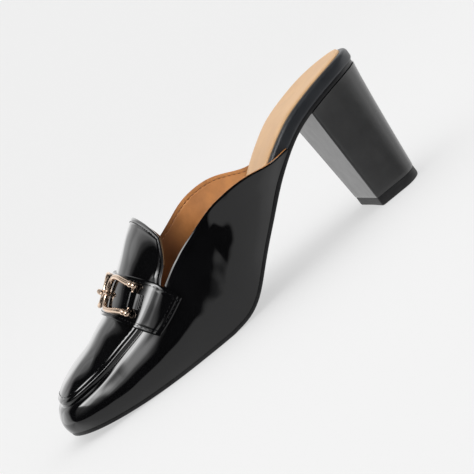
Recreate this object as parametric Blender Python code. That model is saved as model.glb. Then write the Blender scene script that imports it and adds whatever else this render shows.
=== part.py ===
"""A left slip-on shoe: a heeled loafer mule with a raised apron seam, a high tongue, a saddle strap
with a metal link trim, open-backed quarters, a wrapped footbed and a block heel.

Frame, in metres: the shoe stands on the floor, Z is up, the toe points along -Y and the outer
(lateral) side is +X. The origin is the middle of the heel's flat foot, on the floor.
"""

import math
from collections import namedtuple

import bmesh
import bpy
import numpy as np

# Overall sizes
LENGTH = 0.238            # heel seat's back to toe tip, along the floor
HALF_BALL = 0.0415        # widest half width of the upper, at the ball
HEEL_RISE = 0.0673        # floor to the outsole's underside at the back of the seat
TOE_SPRING = 0.0062       # lift of the outsole's underside at the toe tip
COLLAR_RISE = 0.050       # tallest stretch of the quarter above the sole
CROWN_RISE = 0.050        # top line of the apron above the sole, at its back

# Thicknesses and clearances
WALL = 0.0018             # upper leather with its lining
TIP_WALL = 0.0006         # the same, thinned at the tips of the quarters
OUTSOLE_THICK = 0.0020
FOOTBED_THICK = 0.0066
FOOTBED_FRONT_THICK = 0.0036
SOCK_THICK = 0.0010
STRAP_THICK = 0.0017
TONGUE_THICK = 0.0020
SEAM_RAISE = 0.0015       # the apron stands this proud of the vamp at its seam
SEAM_EDGE = 0.0014        # width over which the apron's edge rises
CLEAR = 0.0003            # gap between pieces that meet

# Footbed, sock and sole edges
FOOTBED_ROUND = 0.0020    # radius of the wrapped edge
SOCK_INSET = 0.0036       # black edge that shows round the sock
OUTSOLE_RECESS = 0.0006   # how far the outsole's edge stands inside the upper
OUTSOLE_SEAT_RECESS = 0.0012

# Heel
HEEL_TOP_INSET = 0.0007   # from the footbed's edge to the block, at the top
HEEL_TOP_BREAST = 0.0410
HEEL_FOOT_BACK = 0.0082
HEEL_FOOT_BREAST = 0.0385
HEEL_FOOT_HALF = 0.0208
HEEL_FOOT_ARC = 0.0145    # depth of the round back, at the foot
HEEL_EDGE_ROUND = 0.0014
TOP_PIECE_THICK = 0.0052
TOP_PIECE_INSET = 0.0003
TOP_PIECE_BEVEL = 0.0009

# Saddle strap, its places from the heel seat's back
STRAP_MIDDLE_BACK = 0.7025 * LENGTH
STRAP_MIDDLE_FRONT = 0.7807 * LENGTH
STRAP_SEAM_BACK = 0.6546 * LENGTH
STRAP_SEAM_FRONT = 0.7471 * LENGTH
STRAP_END_BACK = 0.6387 * LENGTH
STRAP_END_FRONT = 0.7244 * LENGTH
STRAP_DROP = 0.0118       # how far the strap's ends run below the apron seam, at the back
STRAP_DROP_FRONT = 0.0094 # the same, at the front
STRAP_EASE = 0.0012       # how far the strap bridges clear of the wall below the seam

# Link trim
LINK_SHIFT = 0.0025       # from the shoe's middle line to the trim's middle, outwards
LINK_BAR = 0.0026         # diameter of a link's bar
LINK_BALL = 0.0036        # ball at the end of each arm
LINK_PIN = 0.0014
LINK_REACH = 0.0280       # from the trim's middle to a link's outer balls
LINK_PIN_AT = 0.0265
LINK_NOSE_AT = 0.0050     # from the trim's middle to a link's nose
LINK_OUTER_WIDTH = 0.0108 # between bar centres, at the pin
LINK_NOSE_WIDTH = 0.0136  # between bar centres, where the nose starts to turn
JOINER_BAR = 0.0019
JOINER_HALF = 0.0070      # half length of the joiner between the noses
JOINER_SWAY = 0.0004
LINK_LINE = 0.46          # the links' middle line, as a share of the strap's width from its back
LINK_CLEAR = 0.0004       # gap between the strap and the links
NOSE_DEPTH = 0.80         # how deep a nose is against half its width
STRAP_CLEAR = 0.0004

POLE = 0.84               # where the toe's lines start to fan out, as a share of LENGTH
NOTCH = 0.661             # where the apron seam ends and the tongue leaves the quarters

# The last's cross-sections. along: share of LENGTH from the heel. The next four are half widths, as
# shares of HALF_BALL, at the sole, the bulge, the shoulder and the seam or collar edge. height: the
# edge above the sole, as a share of COLLAR_RISE.
Section = namedtuple("Section", "along sole bulge shoulder edge height")
LATERAL = (
    Section(0.265, 0.745, 0.747, 0.749, 0.751, 0.020),
    Section(0.315, 0.768, 0.802, 0.838, 0.862, 0.170),
    Section(0.378, 0.795, 0.888, 0.958, 0.993, 0.472),
    Section(0.441, 0.815, 0.936, 1.014, 1.046, 0.736),
    Section(0.504, 0.850, 0.964, 1.024, 1.034, 0.950),
    Section(0.567, 0.896, 0.985, 1.008, 0.994, 0.980),
    Section(0.622, 0.925, 0.998, 0.993, 0.957, 0.878),
    Section(0.676, 0.930, 0.998, 0.974, 0.921, 0.724),
    Section(0.735, 0.906, 0.966, 0.934, 0.858, 0.590),
    Section(0.790, 0.850, 0.907, 0.880, 0.794, 0.516),
    Section(0.840, 0.785, 0.842, 0.814, 0.722, 0.446),
    Section(0.905, 0.698, 0.752, 0.722, 0.590, 0.356),
    Section(0.972, 0.636, 0.690, 0.660, 0.540, 0.266),
)
MEDIAL = (
    Section(0.265, 0.583, 0.584, 0.585, 0.586, 0.020),
    Section(0.315, 0.524, 0.556, 0.590, 0.612, 0.150),
    Section(0.378, 0.460, 0.590, 0.704, 0.770, 0.505),
    Section(0.441, 0.424, 0.634, 0.780, 0.860, 0.796),
    Section(0.504, 0.453, 0.723, 0.862, 0.915, 0.996),
    Section(0.567, 0.607, 0.831, 0.914, 0.930, 1.010),
    Section(0.622, 0.759, 0.908, 0.935, 0.918, 0.912),
    Section(0.676, 0.843, 0.949, 0.945, 0.880, 0.752),
    Section(0.735, 0.875, 0.945, 0.906, 0.775, 0.604),
    Section(0.790, 0.834, 0.896, 0.851, 0.700, 0.516),
    Section(0.840, 0.776, 0.832, 0.795, 0.680, 0.446),
    Section(0.905, 0.692, 0.748, 0.712, 0.612, 0.356),
    Section(0.972, 0.620, 0.672, 0.642, 0.585, 0.266),
)
# Heights of the four rails between the sole (0) and the edge (1)
RAIL_HEIGHTS = (0.0, 0.36, 0.74, 1.0)
# Where each rail closes at the toe, as a share of LENGTH, and how square it turns the corner
ToeEnd = namedtuple("ToeEnd", "front square")
TOE_ENDS = (ToeEnd(0.9985, 3.2), ToeEnd(1.0, 3.2), ToeEnd(0.989, 3.3), ToeEnd(0.974, 4.0))

# The apron's top line. along: share of LENGTH; height: above the sole, as a share of CROWN_RISE.
Crown = namedtuple("Crown", "along height")
CROWN = (
    Crown(0.690, 1.092),
    Crown(0.722, 0.986),
    Crown(0.770, 0.820),
    Crown(0.807, 0.742),
    Crown(0.847, 0.646),
    Crown(0.887, 0.574),
    Crown(0.924, 0.496),
    Crown(0.950, 0.436),
    Crown(0.975, 0.372),
)
CROWN_POWER = 2.6         # how flat the apron is before it turns down to the seam
TOE_POWER = 5.5           # the same, on the toe's middle line
APRON_BOW = 0.058         # how far the apron's cross lines bow to the toe at the notch, share of LENGTH

# The tongue's rows. side_along and crown_along: shares of LENGTH; half: share of HALF_BALL; side and
# crown: heights above the sole, as shares of CROWN_RISE.
TongueRow = namedtuple("TongueRow", "side_along crown_along half side crown")
TONGUE = (
    TongueRow(0.661, 0.719, 0.926, 0.756, 0.986),
    TongueRow(0.648, 0.697, 0.914, 0.842, 1.074),
    TongueRow(0.628, 0.668, 0.924, 0.930, 1.182),
    TongueRow(0.607, 0.636, 0.920, 1.076, 1.308),
    TongueRow(0.592, 0.600, 0.914, 1.232, 1.426),
)
TONGUE_POWER = 1.85       # how round the tongue's top edge is
TONGUE_CORNER = 0.0030    # how far the tongue's top corners round down

# The outsole's underside. along: share of LENGTH; rise: share of HEEL_RISE.
Ground = namedtuple("Ground", "along rise")
SHANK = (
    Ground(0.000, 1.012),
    Ground(0.084, 0.985),
    Ground(0.168, 0.926),
    Ground(0.210, 0.880),
    Ground(0.252, 0.808),
    Ground(0.294, 0.718),
    Ground(0.336, 0.608),
    Ground(0.378, 0.484),
    Ground(0.420, 0.360),
    Ground(0.462, 0.228),
    Ground(0.504, 0.102),
    Ground(0.546, 0.028),
    Ground(0.588, 0.004),
)
BALL_BACK = 0.630         # the flat tread under the ball, as shares of LENGTH
BALL_FRONT = 0.725

# The footbed's outline. along: share of LENGTH; half widths: shares of HALF_BALL.
Plan = namedtuple("Plan", "along lateral medial")
SEAT_ARC = 0.118          # where the seat's round back ends, as a share of LENGTH
FOOTBED = (
    Plan(0.118, 0.684, 0.690),
    Plan(0.190, 0.704, 0.656),
    Plan(0.252, 0.714, 0.578),
    Plan(0.315, 0.720, 0.478),
    Plan(0.378, 0.730, 0.402),
    Plan(0.441, 0.746, 0.366),
    Plan(0.504, 0.780, 0.394),
    Plan(0.567, 0.832, 0.545),
    Plan(0.622, 0.862, 0.698),
    Plan(0.676, 0.868, 0.780),
    Plan(0.735, 0.842, 0.810),
    Plan(0.790, 0.786, 0.770),
    Plan(0.840, 0.714, 0.702),
    Plan(0.905, 0.616, 0.612),
    Plan(0.972, 0.514, 0.514),
)
SEAT_SQUARE = 2.08
FOOTBED_END = ToeEnd(0.979, 3.2)
WING_START = 0.225        # the outsole widens to carry the quarters between these shares of LENGTH
WING_FULL = 0.300

TIP_FULL = 0.36           # share of LENGTH where the quarters reach their full thickness
ROOT_GAP = 0.024          # step of the tongue's first row, which leaves a gap to the apron

# Mesh steps
WALL_STEPS = 8
APRON_STEPS = 6
WING_LINES = 12
SIDE_LINES = 7
TOE_LINES = 9
TONGUE_ROWS = 7
TONGUE_COLUMNS = 14
STRAP_WIDE_STEPS = 7
STRAP_TOP_STEPS = 9
STRAP_SIDE_STEPS = 4
BESIDE = list(np.linspace(SEAT_ARC, POLE, 17))
SEAT_TURNS = 7
TOE_TURNS = 7
ARC_TURNS = 9

# Colours, as in a scene-linear Principled BSDF
BLACK_PATENT = ((0.012, 0.012, 0.014), 0.08, 0.0)
BLACK_EDGE = ((0.015, 0.015, 0.016), 0.30, 0.0)
BLACK_RUBBER = ((0.020, 0.020, 0.021), 0.60, 0.0)
TAN_SOCK = ((0.78, 0.52, 0.34), 0.55, 0.0)
PALE_GOLD = ((0.83, 0.62, 0.47), 0.22, 1.0)


def clear_scene():
    """Removes every object that the start-up scene holds."""
    for obj in list(bpy.data.objects):
        bpy.data.objects.remove(obj)


class Spline:
    """A natural cubic spline through points, which runs on in a straight line past its ends."""

    def __init__(self, at, values):
        self.at = np.asarray(at, float)
        self.values = np.asarray(values, float)
        count = len(self.at)
        step = np.diff(self.at)
        matrix = np.eye(count)
        right = np.zeros((count,) + self.values.shape[1:])
        for i in range(1, count - 1):
            matrix[i, i - 1] = step[i - 1]
            matrix[i, i] = 2.0 * (step[i - 1] + step[i])
            matrix[i, i + 1] = step[i]
            rise = (self.values[i + 1] - self.values[i]) / step[i]
            before = (self.values[i] - self.values[i - 1]) / step[i - 1]
            right[i] = 6.0 * (rise - before)
        self.bend = np.linalg.solve(matrix, right)
        self.step = step

    def slope_at_end(self, last):
        """The slope at the first or the last point."""
        i = len(self.step) - 1 if last else 0
        rise = (self.values[i + 1] - self.values[i]) / self.step[i]
        if last:
            return rise + self.step[i] * (self.bend[i] + 2.0 * self.bend[i + 1]) / 6.0
        return rise - self.step[i] * (2.0 * self.bend[i] + self.bend[i + 1]) / 6.0

    def __call__(self, x):
        if x <= self.at[0]:
            return self.values[0] + (x - self.at[0]) * self.slope_at_end(False)
        if x >= self.at[-1]:
            return self.values[-1] + (x - self.at[-1]) * self.slope_at_end(True)
        i = int(np.searchsorted(self.at, x)) - 1
        h = self.step[i]
        a = (self.at[i + 1] - x) / h
        b = 1.0 - a
        cubic = (a**3 - a) * self.bend[i] + (b**3 - b) * self.bend[i + 1]
        return a * self.values[i] + b * self.values[i + 1] + cubic * h * h / 6.0


def column(rows, key, value, scale=1.0):
    """A spline of one column of a table against another, the values scaled."""
    return Spline([getattr(r, key) for r in rows], [getattr(r, value) * scale for r in rows])


RAILS = ("sole", "bulge", "shoulder", "edge")
HALF = {
    side: [column(rows, "along", rail, HALF_BALL) for rail in RAILS]
    for side, rows in ((1, LATERAL), (-1, MEDIAL))
}
EDGE_HEIGHT = {
    1: column(LATERAL, "along", "height", COLLAR_RISE),
    -1: column(MEDIAL, "along", "height", COLLAR_RISE),
}
CROWN_HEIGHT = column(CROWN, "along", "height", CROWN_RISE)
SHANK_RISE = column(SHANK, "along", "rise", HEEL_RISE)
FOOTBED_HALF = {
    1: column(FOOTBED, "along", "lateral", HALF_BALL),
    -1: column(FOOTBED, "along", "medial", HALF_BALL),
}
TONGUE_STEPS = np.linspace(0.0, 1.0, len(TONGUE))
TONGUE_SHAPE = Spline(TONGUE_STEPS, [tuple(row) for row in TONGUE])
HEEL_MIDDLE = (HEEL_FOOT_BACK + HEEL_FOOT_BREAST) / 2.0


def smooth_step(x, start, end):
    """0 before start, 1 after end, and a smooth rise between them."""
    t = min(max((x - start) / (end - start), 0.0), 1.0)
    return t * t * (3.0 - 2.0 * t)


def ground(along):
    """Height of the outsole's underside."""
    if along <= BALL_BACK:
        end = SHANK[-1].along
        reach = min(along, end + 0.5 * (BALL_BACK - end))
        return max(SHANK_RISE(reach), 0.0) * (1.0 - smooth_step(along, end, BALL_BACK))
    past = max(along - BALL_FRONT, 0.0) / (1.0 - BALL_FRONT)
    return TOE_SPRING * past**2.6


def ground_stretch(along):
    """How much taller a layer of one thickness is, measured upright, where the sole slopes."""
    small = 0.004
    slope = (ground(along + small) - ground(along - small)) / (2.0 * small * LENGTH)
    return math.sqrt(1.0 + slope * slope)


def outsole_top(along):
    return ground(along) + OUTSOLE_THICK * ground_stretch(along)


def upper_base(along):
    """Height at which the upper and the footbed start, just clear of the outsole."""
    return outsole_top(along) + CLEAR * ground_stretch(along)


def place(x, along, z):
    """A point from its sideways place, its share of the length and its height."""
    return np.array((x, HEEL_MIDDLE - along * LENGTH, z))


def corner_share(angle, square):
    """(along, across) shares of a squared toe outline at an angle from the toe's middle line."""
    c = abs(math.cos(angle))
    s = abs(math.sin(angle))
    reach = (c**square + s**square) ** (-1.0 / square)
    return reach * c, reach * s


def rail_at(rail, side, along, angle):
    """(x, along) of one rail: at a station beside the foot, or on a line that fans round the toe."""
    if angle is None:
        return side * HALF[side][rail](along), along
    end = TOE_ENDS[rail]
    forward, across = corner_share(angle, end.square)
    there = POLE + forward * (end.front - POLE)
    return side * HALF[side][rail](there) * across, there


def wall_line(side, along, angle=None):
    """The spline up one line of the vamp or quarter, from the sole (0) to the seam or collar (1)."""
    edge_along = rail_at(3, side, along, angle)[1]
    sole_along = rail_at(0, side, along, angle)[1]
    tall = EDGE_HEIGHT[side](edge_along)
    points = []
    for rail, share in enumerate(RAIL_HEIGHTS):
        x, there = rail_at(rail, side, along, angle)
        points.append(place(x, there, upper_base(sole_along) + share * tall))
    return Spline(RAIL_HEIGHTS, points)


def seam_point(side, along, angle=None):
    return wall_line(side, along, angle)(1.0)


def crown_level(along):
    return upper_base(along) + CROWN_HEIGHT(along)


def along_of(point):
    return (HEEL_MIDDLE - point[1]) / LENGTH


def bow(along):
    """How far a cross line of the apron bows to the toe on the middle line, as a share of LENGTH."""
    return APRON_BOW * (1.0 - smooth_step(along, NOTCH, POLE))


def apron_point(side, along, across, angle=None):
    """A point of the apron, from its middle line (across 0) to its seam (across 1)."""
    seam = seam_point(side, along, angle)
    seam_along = along_of(seam)
    drop = seam[2] - crown_level(seam_along)
    power = CROWN_POWER
    if angle is None:
        there = along + bow(along) * (1.0 - across * across)
    else:
        there = POLE + across * (seam_along - POLE)
        power += (TOE_POWER - CROWN_POWER) * math.cos(angle) ** 2
    return place(across * seam[0], there, crown_level(there) + drop * across**power)


def tongue_shape(step, across):
    """The tongue's own rows, before its root is fitted to the apron."""
    wide = abs(across)
    side_along, crown_along, half, side, crown = TONGUE_SHAPE(step)
    power = CROWN_POWER + (TONGUE_POWER - CROWN_POWER) * step
    there = crown_along + (side_along - crown_along) * wide**2
    tall = (crown + (side - crown) * wide**power) * CROWN_RISE
    return place(across * half * HALF_BALL, there, upper_base(max(there, BALL_BACK)) + tall)


def tongue_point(step, across):
    """A point of the tongue: step 0 at its root, 1 at its top edge; across -1 to 1."""
    wide = abs(across)
    step = step * (1.0 - (TONGUE_CORNER / CROWN_RISE) * wide**8)
    root = apron_point(1 if across >= 0.0 else -1, NOTCH, wide) - tongue_shape(0.0, across)
    return tongue_shape(step, across) + root * (1.0 - step) ** 2


def footbed_edge(side, along, angle=None):
    """(x, along) on the footbed's outline. An angle gives the places round its two ends."""
    if angle is None:
        return side * FOOTBED_HALF[side](along), along
    if along < SEAT_ARC:
        backward, across = corner_share(angle, SEAT_SQUARE)
        there = SEAT_ARC * (1.0 - backward)
        return side * FOOTBED_HALF[side](there) * across, there
    forward, across = corner_share(angle, FOOTBED_END.square)
    there = POLE + forward * (FOOTBED_END.front - POLE)
    return side * FOOTBED_HALF[side](there) * across, there


def outsole_edge(side, along, angle=None):
    """(x, along) on the outsole's outline: inside the footbed at the seat, under the upper in front."""
    if angle is not None and along > SEAT_ARC:
        x, there = rail_at(0, side, along, angle)
        return x * (1.0 - OUTSOLE_RECESS / HALF_BALL), there - OUTSOLE_RECESS / LENGTH
    x, there = footbed_edge(side, along, angle)
    if angle is not None:
        backward = 1.0 - there / SEAT_ARC
        shrink = 1.0 - OUTSOLE_SEAT_RECESS / FOOTBED_HALF[side](SEAT_ARC)
        return x * shrink, there + OUTSOLE_SEAT_RECESS * backward / LENGTH
    carry = smooth_step(there, WING_START, WING_FULL)
    seat = x - side * OUTSOLE_SEAT_RECESS
    front = side * (HALF[side][0](there) - OUTSOLE_RECESS)
    return seat + (front - seat) * carry, there


Station = namedtuple("Station", "side along angle")


def loop_stations(beside, seat_turns, toe_turns):
    """Stations round an outline: heel end, lateral side, toe end, then back along the medial side."""
    seat = [math.pi / 2.0 * (i + 1) / seat_turns for i in range(seat_turns - 1)]
    toe = [math.pi / 2.0 * (i + 1) / toe_turns for i in range(toe_turns - 1)]
    lateral = [Station(1, 0.0, a) for a in seat]
    lateral += [Station(1, along, None) for along in beside]
    lateral += [Station(1, 1.0, a) for a in reversed(toe)]
    medial = [Station(-1, s.along, s.angle) for s in reversed(lateral)]
    return [Station(1, 0.0, 0.0)] + lateral + [Station(1, 1.0, 0.0)] + medial


def inset_loop(points, distance):
    """A closed plan outline moved inwards. Points run heel, lateral side, toe, medial side."""
    plan = np.array(points)
    before = np.roll(plan, 1, axis=0)
    after = np.roll(plan, -1, axis=0)
    run = after - before
    run /= np.linalg.norm(run, axis=1)[:, None]
    inward = np.stack((run[:, 1], -run[:, 0]), axis=1)
    return plan + inward * distance


def slab(name, outline, rings, cross, finish):
    """A closed layer on a foot-shaped outline.

    rings lists (inset, height function) from the underside's rim up to the top's rim; the two faces
    are closed by ladders of cross lines with the given number of steps.
    """
    mesh = bmesh.new()
    count = len(outline)
    loops = []
    for inset, level in rings:
        plan = inset_loop(outline, inset)
        loop = []
        for x, y in plan:
            along = (HEEL_MIDDLE - y) / LENGTH
            loop.append(mesh.verts.new((x, y, level(along))))
        loops.append(loop)
    for low, high in zip(loops, loops[1:]):
        for i in range(count):
            j = (i + 1) % count
            mesh.faces.new((low[i], low[j], high[j], high[i]))
    ladder(mesh, loops[0], rings[0][1], cross, True)
    ladder(mesh, loops[-1], rings[-1][1], cross, False)
    return finish_mesh(name, mesh, finish)


def ladder(mesh, loop, level, cross, underside):
    """Closes a loop with cross lines from its lateral to its medial points."""
    half = len(loop) // 2
    lateral = loop[1:half]
    medial = loop[half + 1:][::-1]
    lines = [[loop[0]]]
    for left, right in zip(lateral, medial):
        line = [left]
        for k in range(1, cross):
            point = left.co.lerp(right.co, k / cross)
            point.z = level((HEEL_MIDDLE - point.y) / LENGTH)
            line.append(mesh.verts.new(point))
        line.append(right)
        lines.append(line)
    lines.append([loop[half]])
    for first, second in zip(lines, lines[1:]):
        for k in range(cross):
            a, b = first[min(k, len(first) - 1)], first[min(k + 1, len(first) - 1)]
            c, d = second[min(k + 1, len(second) - 1)], second[min(k, len(second) - 1)]
            corners = [v for i, v in enumerate((a, b, c, d)) if v not in (a, b, c, d)[:i]]
            mesh.faces.new(corners if not underside else corners[::-1])


def material(name, look):
    """A Principled BSDF material with the look's colour, roughness and metallic value."""
    colour, roughness, metallic = look
    made = bpy.data.materials.get(name) or bpy.data.materials.new(name)
    made.use_nodes = True
    shader = made.node_tree.nodes["Principled BSDF"]
    shader.inputs["Base Color"].default_value = (*colour, 1.0)
    shader.inputs["Roughness"].default_value = roughness
    shader.inputs["Metallic"].default_value = metallic
    made.diffuse_color = (*colour, 1.0)
    return made


def finish_mesh(name, mesh, finish, sharp_angle=40.0):
    """Turns a bmesh into a named object with outward faces, triangles and a material."""
    bmesh.ops.recalc_face_normals(mesh, faces=mesh.faces)
    bmesh.ops.triangulate(mesh, faces=mesh.faces, quad_method="SHORT_EDGE")
    data = bpy.data.meshes.new(name)
    mesh.to_mesh(data)
    mesh.free()
    data.shade_smooth()
    data.set_sharp_from_angle(angle=math.radians(sharp_angle))
    obj = bpy.data.objects.new(name, data)
    obj.data.materials.append(material(*finish))
    bpy.context.scene.collection.objects.link(obj)
    return obj


def skin_normals(points, faces):
    """The normal at every vertex of an open skin."""
    probe = bmesh.new()
    verts = [probe.verts.new(p) for p in points]
    for face in faces:
        probe.faces.new([verts[i] for i in face])
    probe.normal_update()
    normals = [np.array(v.normal) for v in verts]
    probe.free()
    return normals


def wall_faces(mesh, outer, inner, faces):
    """Joins an outer and an inner skin into one closed wall, with rims along their open edges."""
    edges = {(a, b) for face in faces for a, b in zip(face, face[1:] + face[:1])}
    for face in faces:
        mesh.faces.new([outer[i] for i in face])
        mesh.faces.new([inner[i] for i in reversed(face)])
    for a, b in edges:
        if (b, a) not in edges:
            mesh.faces.new((outer[b], outer[a], inner[a], inner[b]))


def shell(name, outer, base, faces, thickness, finish, level_rim=()):
    """A hollow wall whose inner skin is set in from the base skin.

    thickness is a function of the vertex index. level_rim lists vertices whose inner partner stays at
    their own height, so that the wall's foot is level.
    """
    normals = skin_normals(base, faces)
    mesh = bmesh.new()
    out_verts = [mesh.verts.new(p) for p in outer]
    in_verts = []
    for i, point in enumerate(base):
        inner = np.array(point) - normals[i] * thickness(i)
        if i in level_rim:
            inner[2] = point[2]
        in_verts.append(mesh.verts.new(inner))
    wall_faces(mesh, out_verts, in_verts, faces)
    return finish_mesh(name, mesh, finish)


def upper_stations():
    """The lines of the vamp and quarters, from the lateral tip round the toe to the medial tip."""
    wing = list(np.linspace(LATERAL[0].along, NOTCH, WING_LINES + 1))
    side = list(np.linspace(NOTCH, POLE, SIDE_LINES + 1))[1:]
    toe = [math.pi / 2.0 * i / TOE_LINES for i in range(1, TOE_LINES)]
    lateral = [Station(1, a, None) for a in wing + side]
    lateral += [Station(1, POLE, angle) for angle in reversed(toe)]
    medial = [Station(-1, s.along, s.angle) for s in reversed(lateral)]
    return lateral + [Station(1, POLE, 0.0)] + medial


def apron_shares(seam, middle):
    """Places across the apron from its seam (1) inwards, the second just inside the seam's step."""
    reach = float(np.linalg.norm(seam - middle))
    edge = 1.0 - SEAM_EDGE / reach
    return [1.0, edge] + [edge * (1.0 - (k + 1.0) / APRON_STEPS) for k in range(APRON_STEPS)]


def build_upper():
    """Vamp, raised apron and open-backed quarters as one hollow wall, open below and at the throat."""
    stations = upper_stations()
    base = []
    faces = []
    raised = set()
    grid = []
    for st in stations:
        line = wall_line(st.side, st.along, st.angle)
        first = len(base)
        base.extend(line(k / WALL_STEPS) for k in range(WALL_STEPS + 1))
        grid.append([first + k for k in range(WALL_STEPS + 1)])
    for one, two in zip(grid, grid[1:]):
        for k in range(WALL_STEPS):
            faces.append([one[k], one[k + 1], two[k + 1], two[k]])
    lines = {}
    middles = {}
    for i, st in enumerate(stations):
        if st.angle is None and st.along < NOTCH - 1e-9:
            continue
        seam_index = grid[i][-1]
        middle_key = "pole" if st.angle is not None or abs(st.along - POLE) < 1e-9 else round(st.along, 6)
        middle = apron_point(st.side, st.along, 0.0, st.angle)
        if middle_key not in middles:
            middles[middle_key] = len(base)
            base.append(middle)
            raised.add(middles[middle_key])
        line = [seam_index]
        for share in apron_shares(base[seam_index], middle)[1:-1]:
            line.append(len(base))
            raised.add(len(base))
            base.append(apron_point(st.side, st.along, share, st.angle))
        line.append(middles[middle_key])
        lines[i] = line
    order = sorted(lines)
    for i, j in zip(order, order[1:]):
        if j != i + 1:
            continue
        one, two = lines[i], lines[j]
        for k in range(len(one) - 1):
            corners = [one[k], one[k + 1], two[k + 1], two[k]]
            if corners[1] == corners[2]:
                corners.pop(1)
            faces.append(corners)
    outer = []
    for i, (point, normal) in enumerate(zip(base, skin_normals(base, faces))):
        outer.append(np.array(point) + normal * (SEAM_RAISE if i in raised else 0.0))
    feet = {line[0] for line in grid}
    thickness = {}
    for st, line in zip(stations, grid):
        full = 1.0 if st.angle is not None else smooth_step(st.along, LATERAL[0].along, TIP_FULL)
        for i in line:
            thickness[i] = TIP_WALL + (WALL - TIP_WALL) * full
    return shell(
        "upper", outer, base, faces, lambda i: thickness.get(i, WALL), ("black_patent", BLACK_PATENT), feet
    )


def build_tongue():
    """The high tongue that leaves the apron under the strap and stands up over the instep."""
    base = []
    for row in range(TONGUE_ROWS + 1):
        for col in range(TONGUE_COLUMNS + 1):
            across = 1.0 - 2.0 * col / TONGUE_COLUMNS
            step = ROOT_GAP + (1.0 - ROOT_GAP) * row / TONGUE_ROWS
            base.append(tongue_point(step, across))
    faces = []
    wide = TONGUE_COLUMNS + 1
    for row in range(TONGUE_ROWS):
        for col in range(TONGUE_COLUMNS):
            a = row * wide + col
            faces.append([a, a + 1, a + wide + 1, a + wide])
    faces = [face[::-1] for face in faces]
    outer = [p + n * SEAM_RAISE for p, n in zip(base, skin_normals(base, faces))]
    inner_depth = TONGUE_THICK - SEAM_RAISE
    return shell("tongue", outer, base, faces, lambda i: inner_depth, ("black_patent", BLACK_PATENT))


def strap_place(side, across, down, share):
    """A base point under the strap.

    across: 0 on the middle line to 1 at the seam. down: 0 at the seam to 1 at the strap's end.
    share: 0 at the strap's back edge to 1 at its front edge.
    """
    seam_back, seam_front = STRAP_SEAM_BACK, STRAP_SEAM_FRONT
    back = STRAP_MIDDLE_BACK + (seam_back - STRAP_MIDDLE_BACK) * across**2
    front = STRAP_MIDDLE_FRONT + (seam_front - STRAP_MIDDLE_FRONT) * across**2
    if down > 0.0:
        back = seam_back + (STRAP_END_BACK - seam_back) * down
        front = seam_front + (STRAP_END_FRONT - seam_front) * down
        along = (back + (front - back) * share) / LENGTH
        line = wall_line(side, along)
        reach = float(np.linalg.norm(line(1.0) - line(0.0)))
        drop = STRAP_DROP + (STRAP_DROP_FRONT - STRAP_DROP) * share
        return line(1.0 - down * drop / reach)
    target = (back + (front - back) * share) / LENGTH
    along = target
    for _ in range(12):
        along = target - bow(along) * (1.0 - across * across)
    return apron_point(side, along, across)


def strap_stations():
    """(side, across, down, lift) over the shoe, from the lateral end to the medial end."""
    lateral = []
    for k in range(STRAP_SIDE_STEPS, 0, -1):
        down = k / STRAP_SIDE_STEPS
        lift = SEAM_RAISE * (1.0 - down) ** 2 + STRAP_EASE * down * (1.0 - down)
        lateral.append((1, 1.0, down, lift))
    lateral.append((1, 1.0, 0.0, SEAM_RAISE))
    for k in range(STRAP_TOP_STEPS - 1, 0, -1):
        lateral.append((1, k / STRAP_TOP_STEPS, 0.0, SEAM_RAISE))
    middle = [(1, 0.0, 0.0, SEAM_RAISE)]
    return lateral + middle + [(-1, *rest) for side, *rest in reversed(lateral)]


def build_strap():
    """The saddle strap, which lies across the apron and down over the seam on both sides."""
    stations = strap_stations()
    base = []
    lifts = []
    for side, across, down, lift in stations:
        for k in range(STRAP_WIDE_STEPS + 1):
            base.append(strap_place(side, across, down, k / STRAP_WIDE_STEPS))
            lifts.append(lift + STRAP_CLEAR)
    wide = STRAP_WIDE_STEPS + 1
    faces = []
    for row in range(len(stations) - 1):
        for k in range(STRAP_WIDE_STEPS):
            a = row * wide + k
            faces.append([a, a + wide, a + wide + 1, a + 1])
    normals = skin_normals(base, faces)
    outer = [p + n * (lift + STRAP_THICK) for p, n, lift in zip(base, normals, lifts)]
    lifted = [p + n * lift for p, n, lift in zip(base, normals, lifts)]
    mesh = bmesh.new()
    top = [mesh.verts.new(p) for p in outer]
    low = [mesh.verts.new(p) for p in lifted]
    wall_faces(mesh, top, low, faces)
    return finish_mesh("saddle_strap", mesh, ("black_patent", BLACK_PATENT))


def strap_top(reach, forward):
    """A point on the strap's outer face and its normal.

    reach: sideways distance from the shoe's middle line, lateral positive. forward: share of the
    strap's width from its back edge.
    """
    def lay(x, share):
        side = 1 if x >= 0.0 else -1
        across = abs(x) / HALF_BALL
        for _ in range(8):
            point = strap_place(side, across, 0.0, share)
            across *= abs(x) / max(abs(point[0]), 1e-6) if abs(x) > 1e-5 else 0.0
            across = min(across, 1.0)
        return strap_place(side, across, 0.0, share)

    point = lay(reach, forward)
    step = 0.0008
    sideways = lay(reach + step, forward) - lay(reach - step, forward)
    onward = lay(reach, min(forward + 0.04, 1.0)) - lay(reach, forward - 0.04)
    normal = np.cross(onward, sideways)
    normal /= np.linalg.norm(normal)
    if normal[2] < 0.0:
        normal = -normal
    return point + normal * (SEAM_RAISE + STRAP_CLEAR + STRAP_THICK), normal


def over_strap(reach, offset, lift):
    """A point over the strap: offset is the distance to the toe from the links' middle line."""
    width = STRAP_MIDDLE_FRONT - STRAP_MIDDLE_BACK
    point, normal = strap_top(reach, LINK_LINE + offset / width)
    return point + normal * lift


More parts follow.
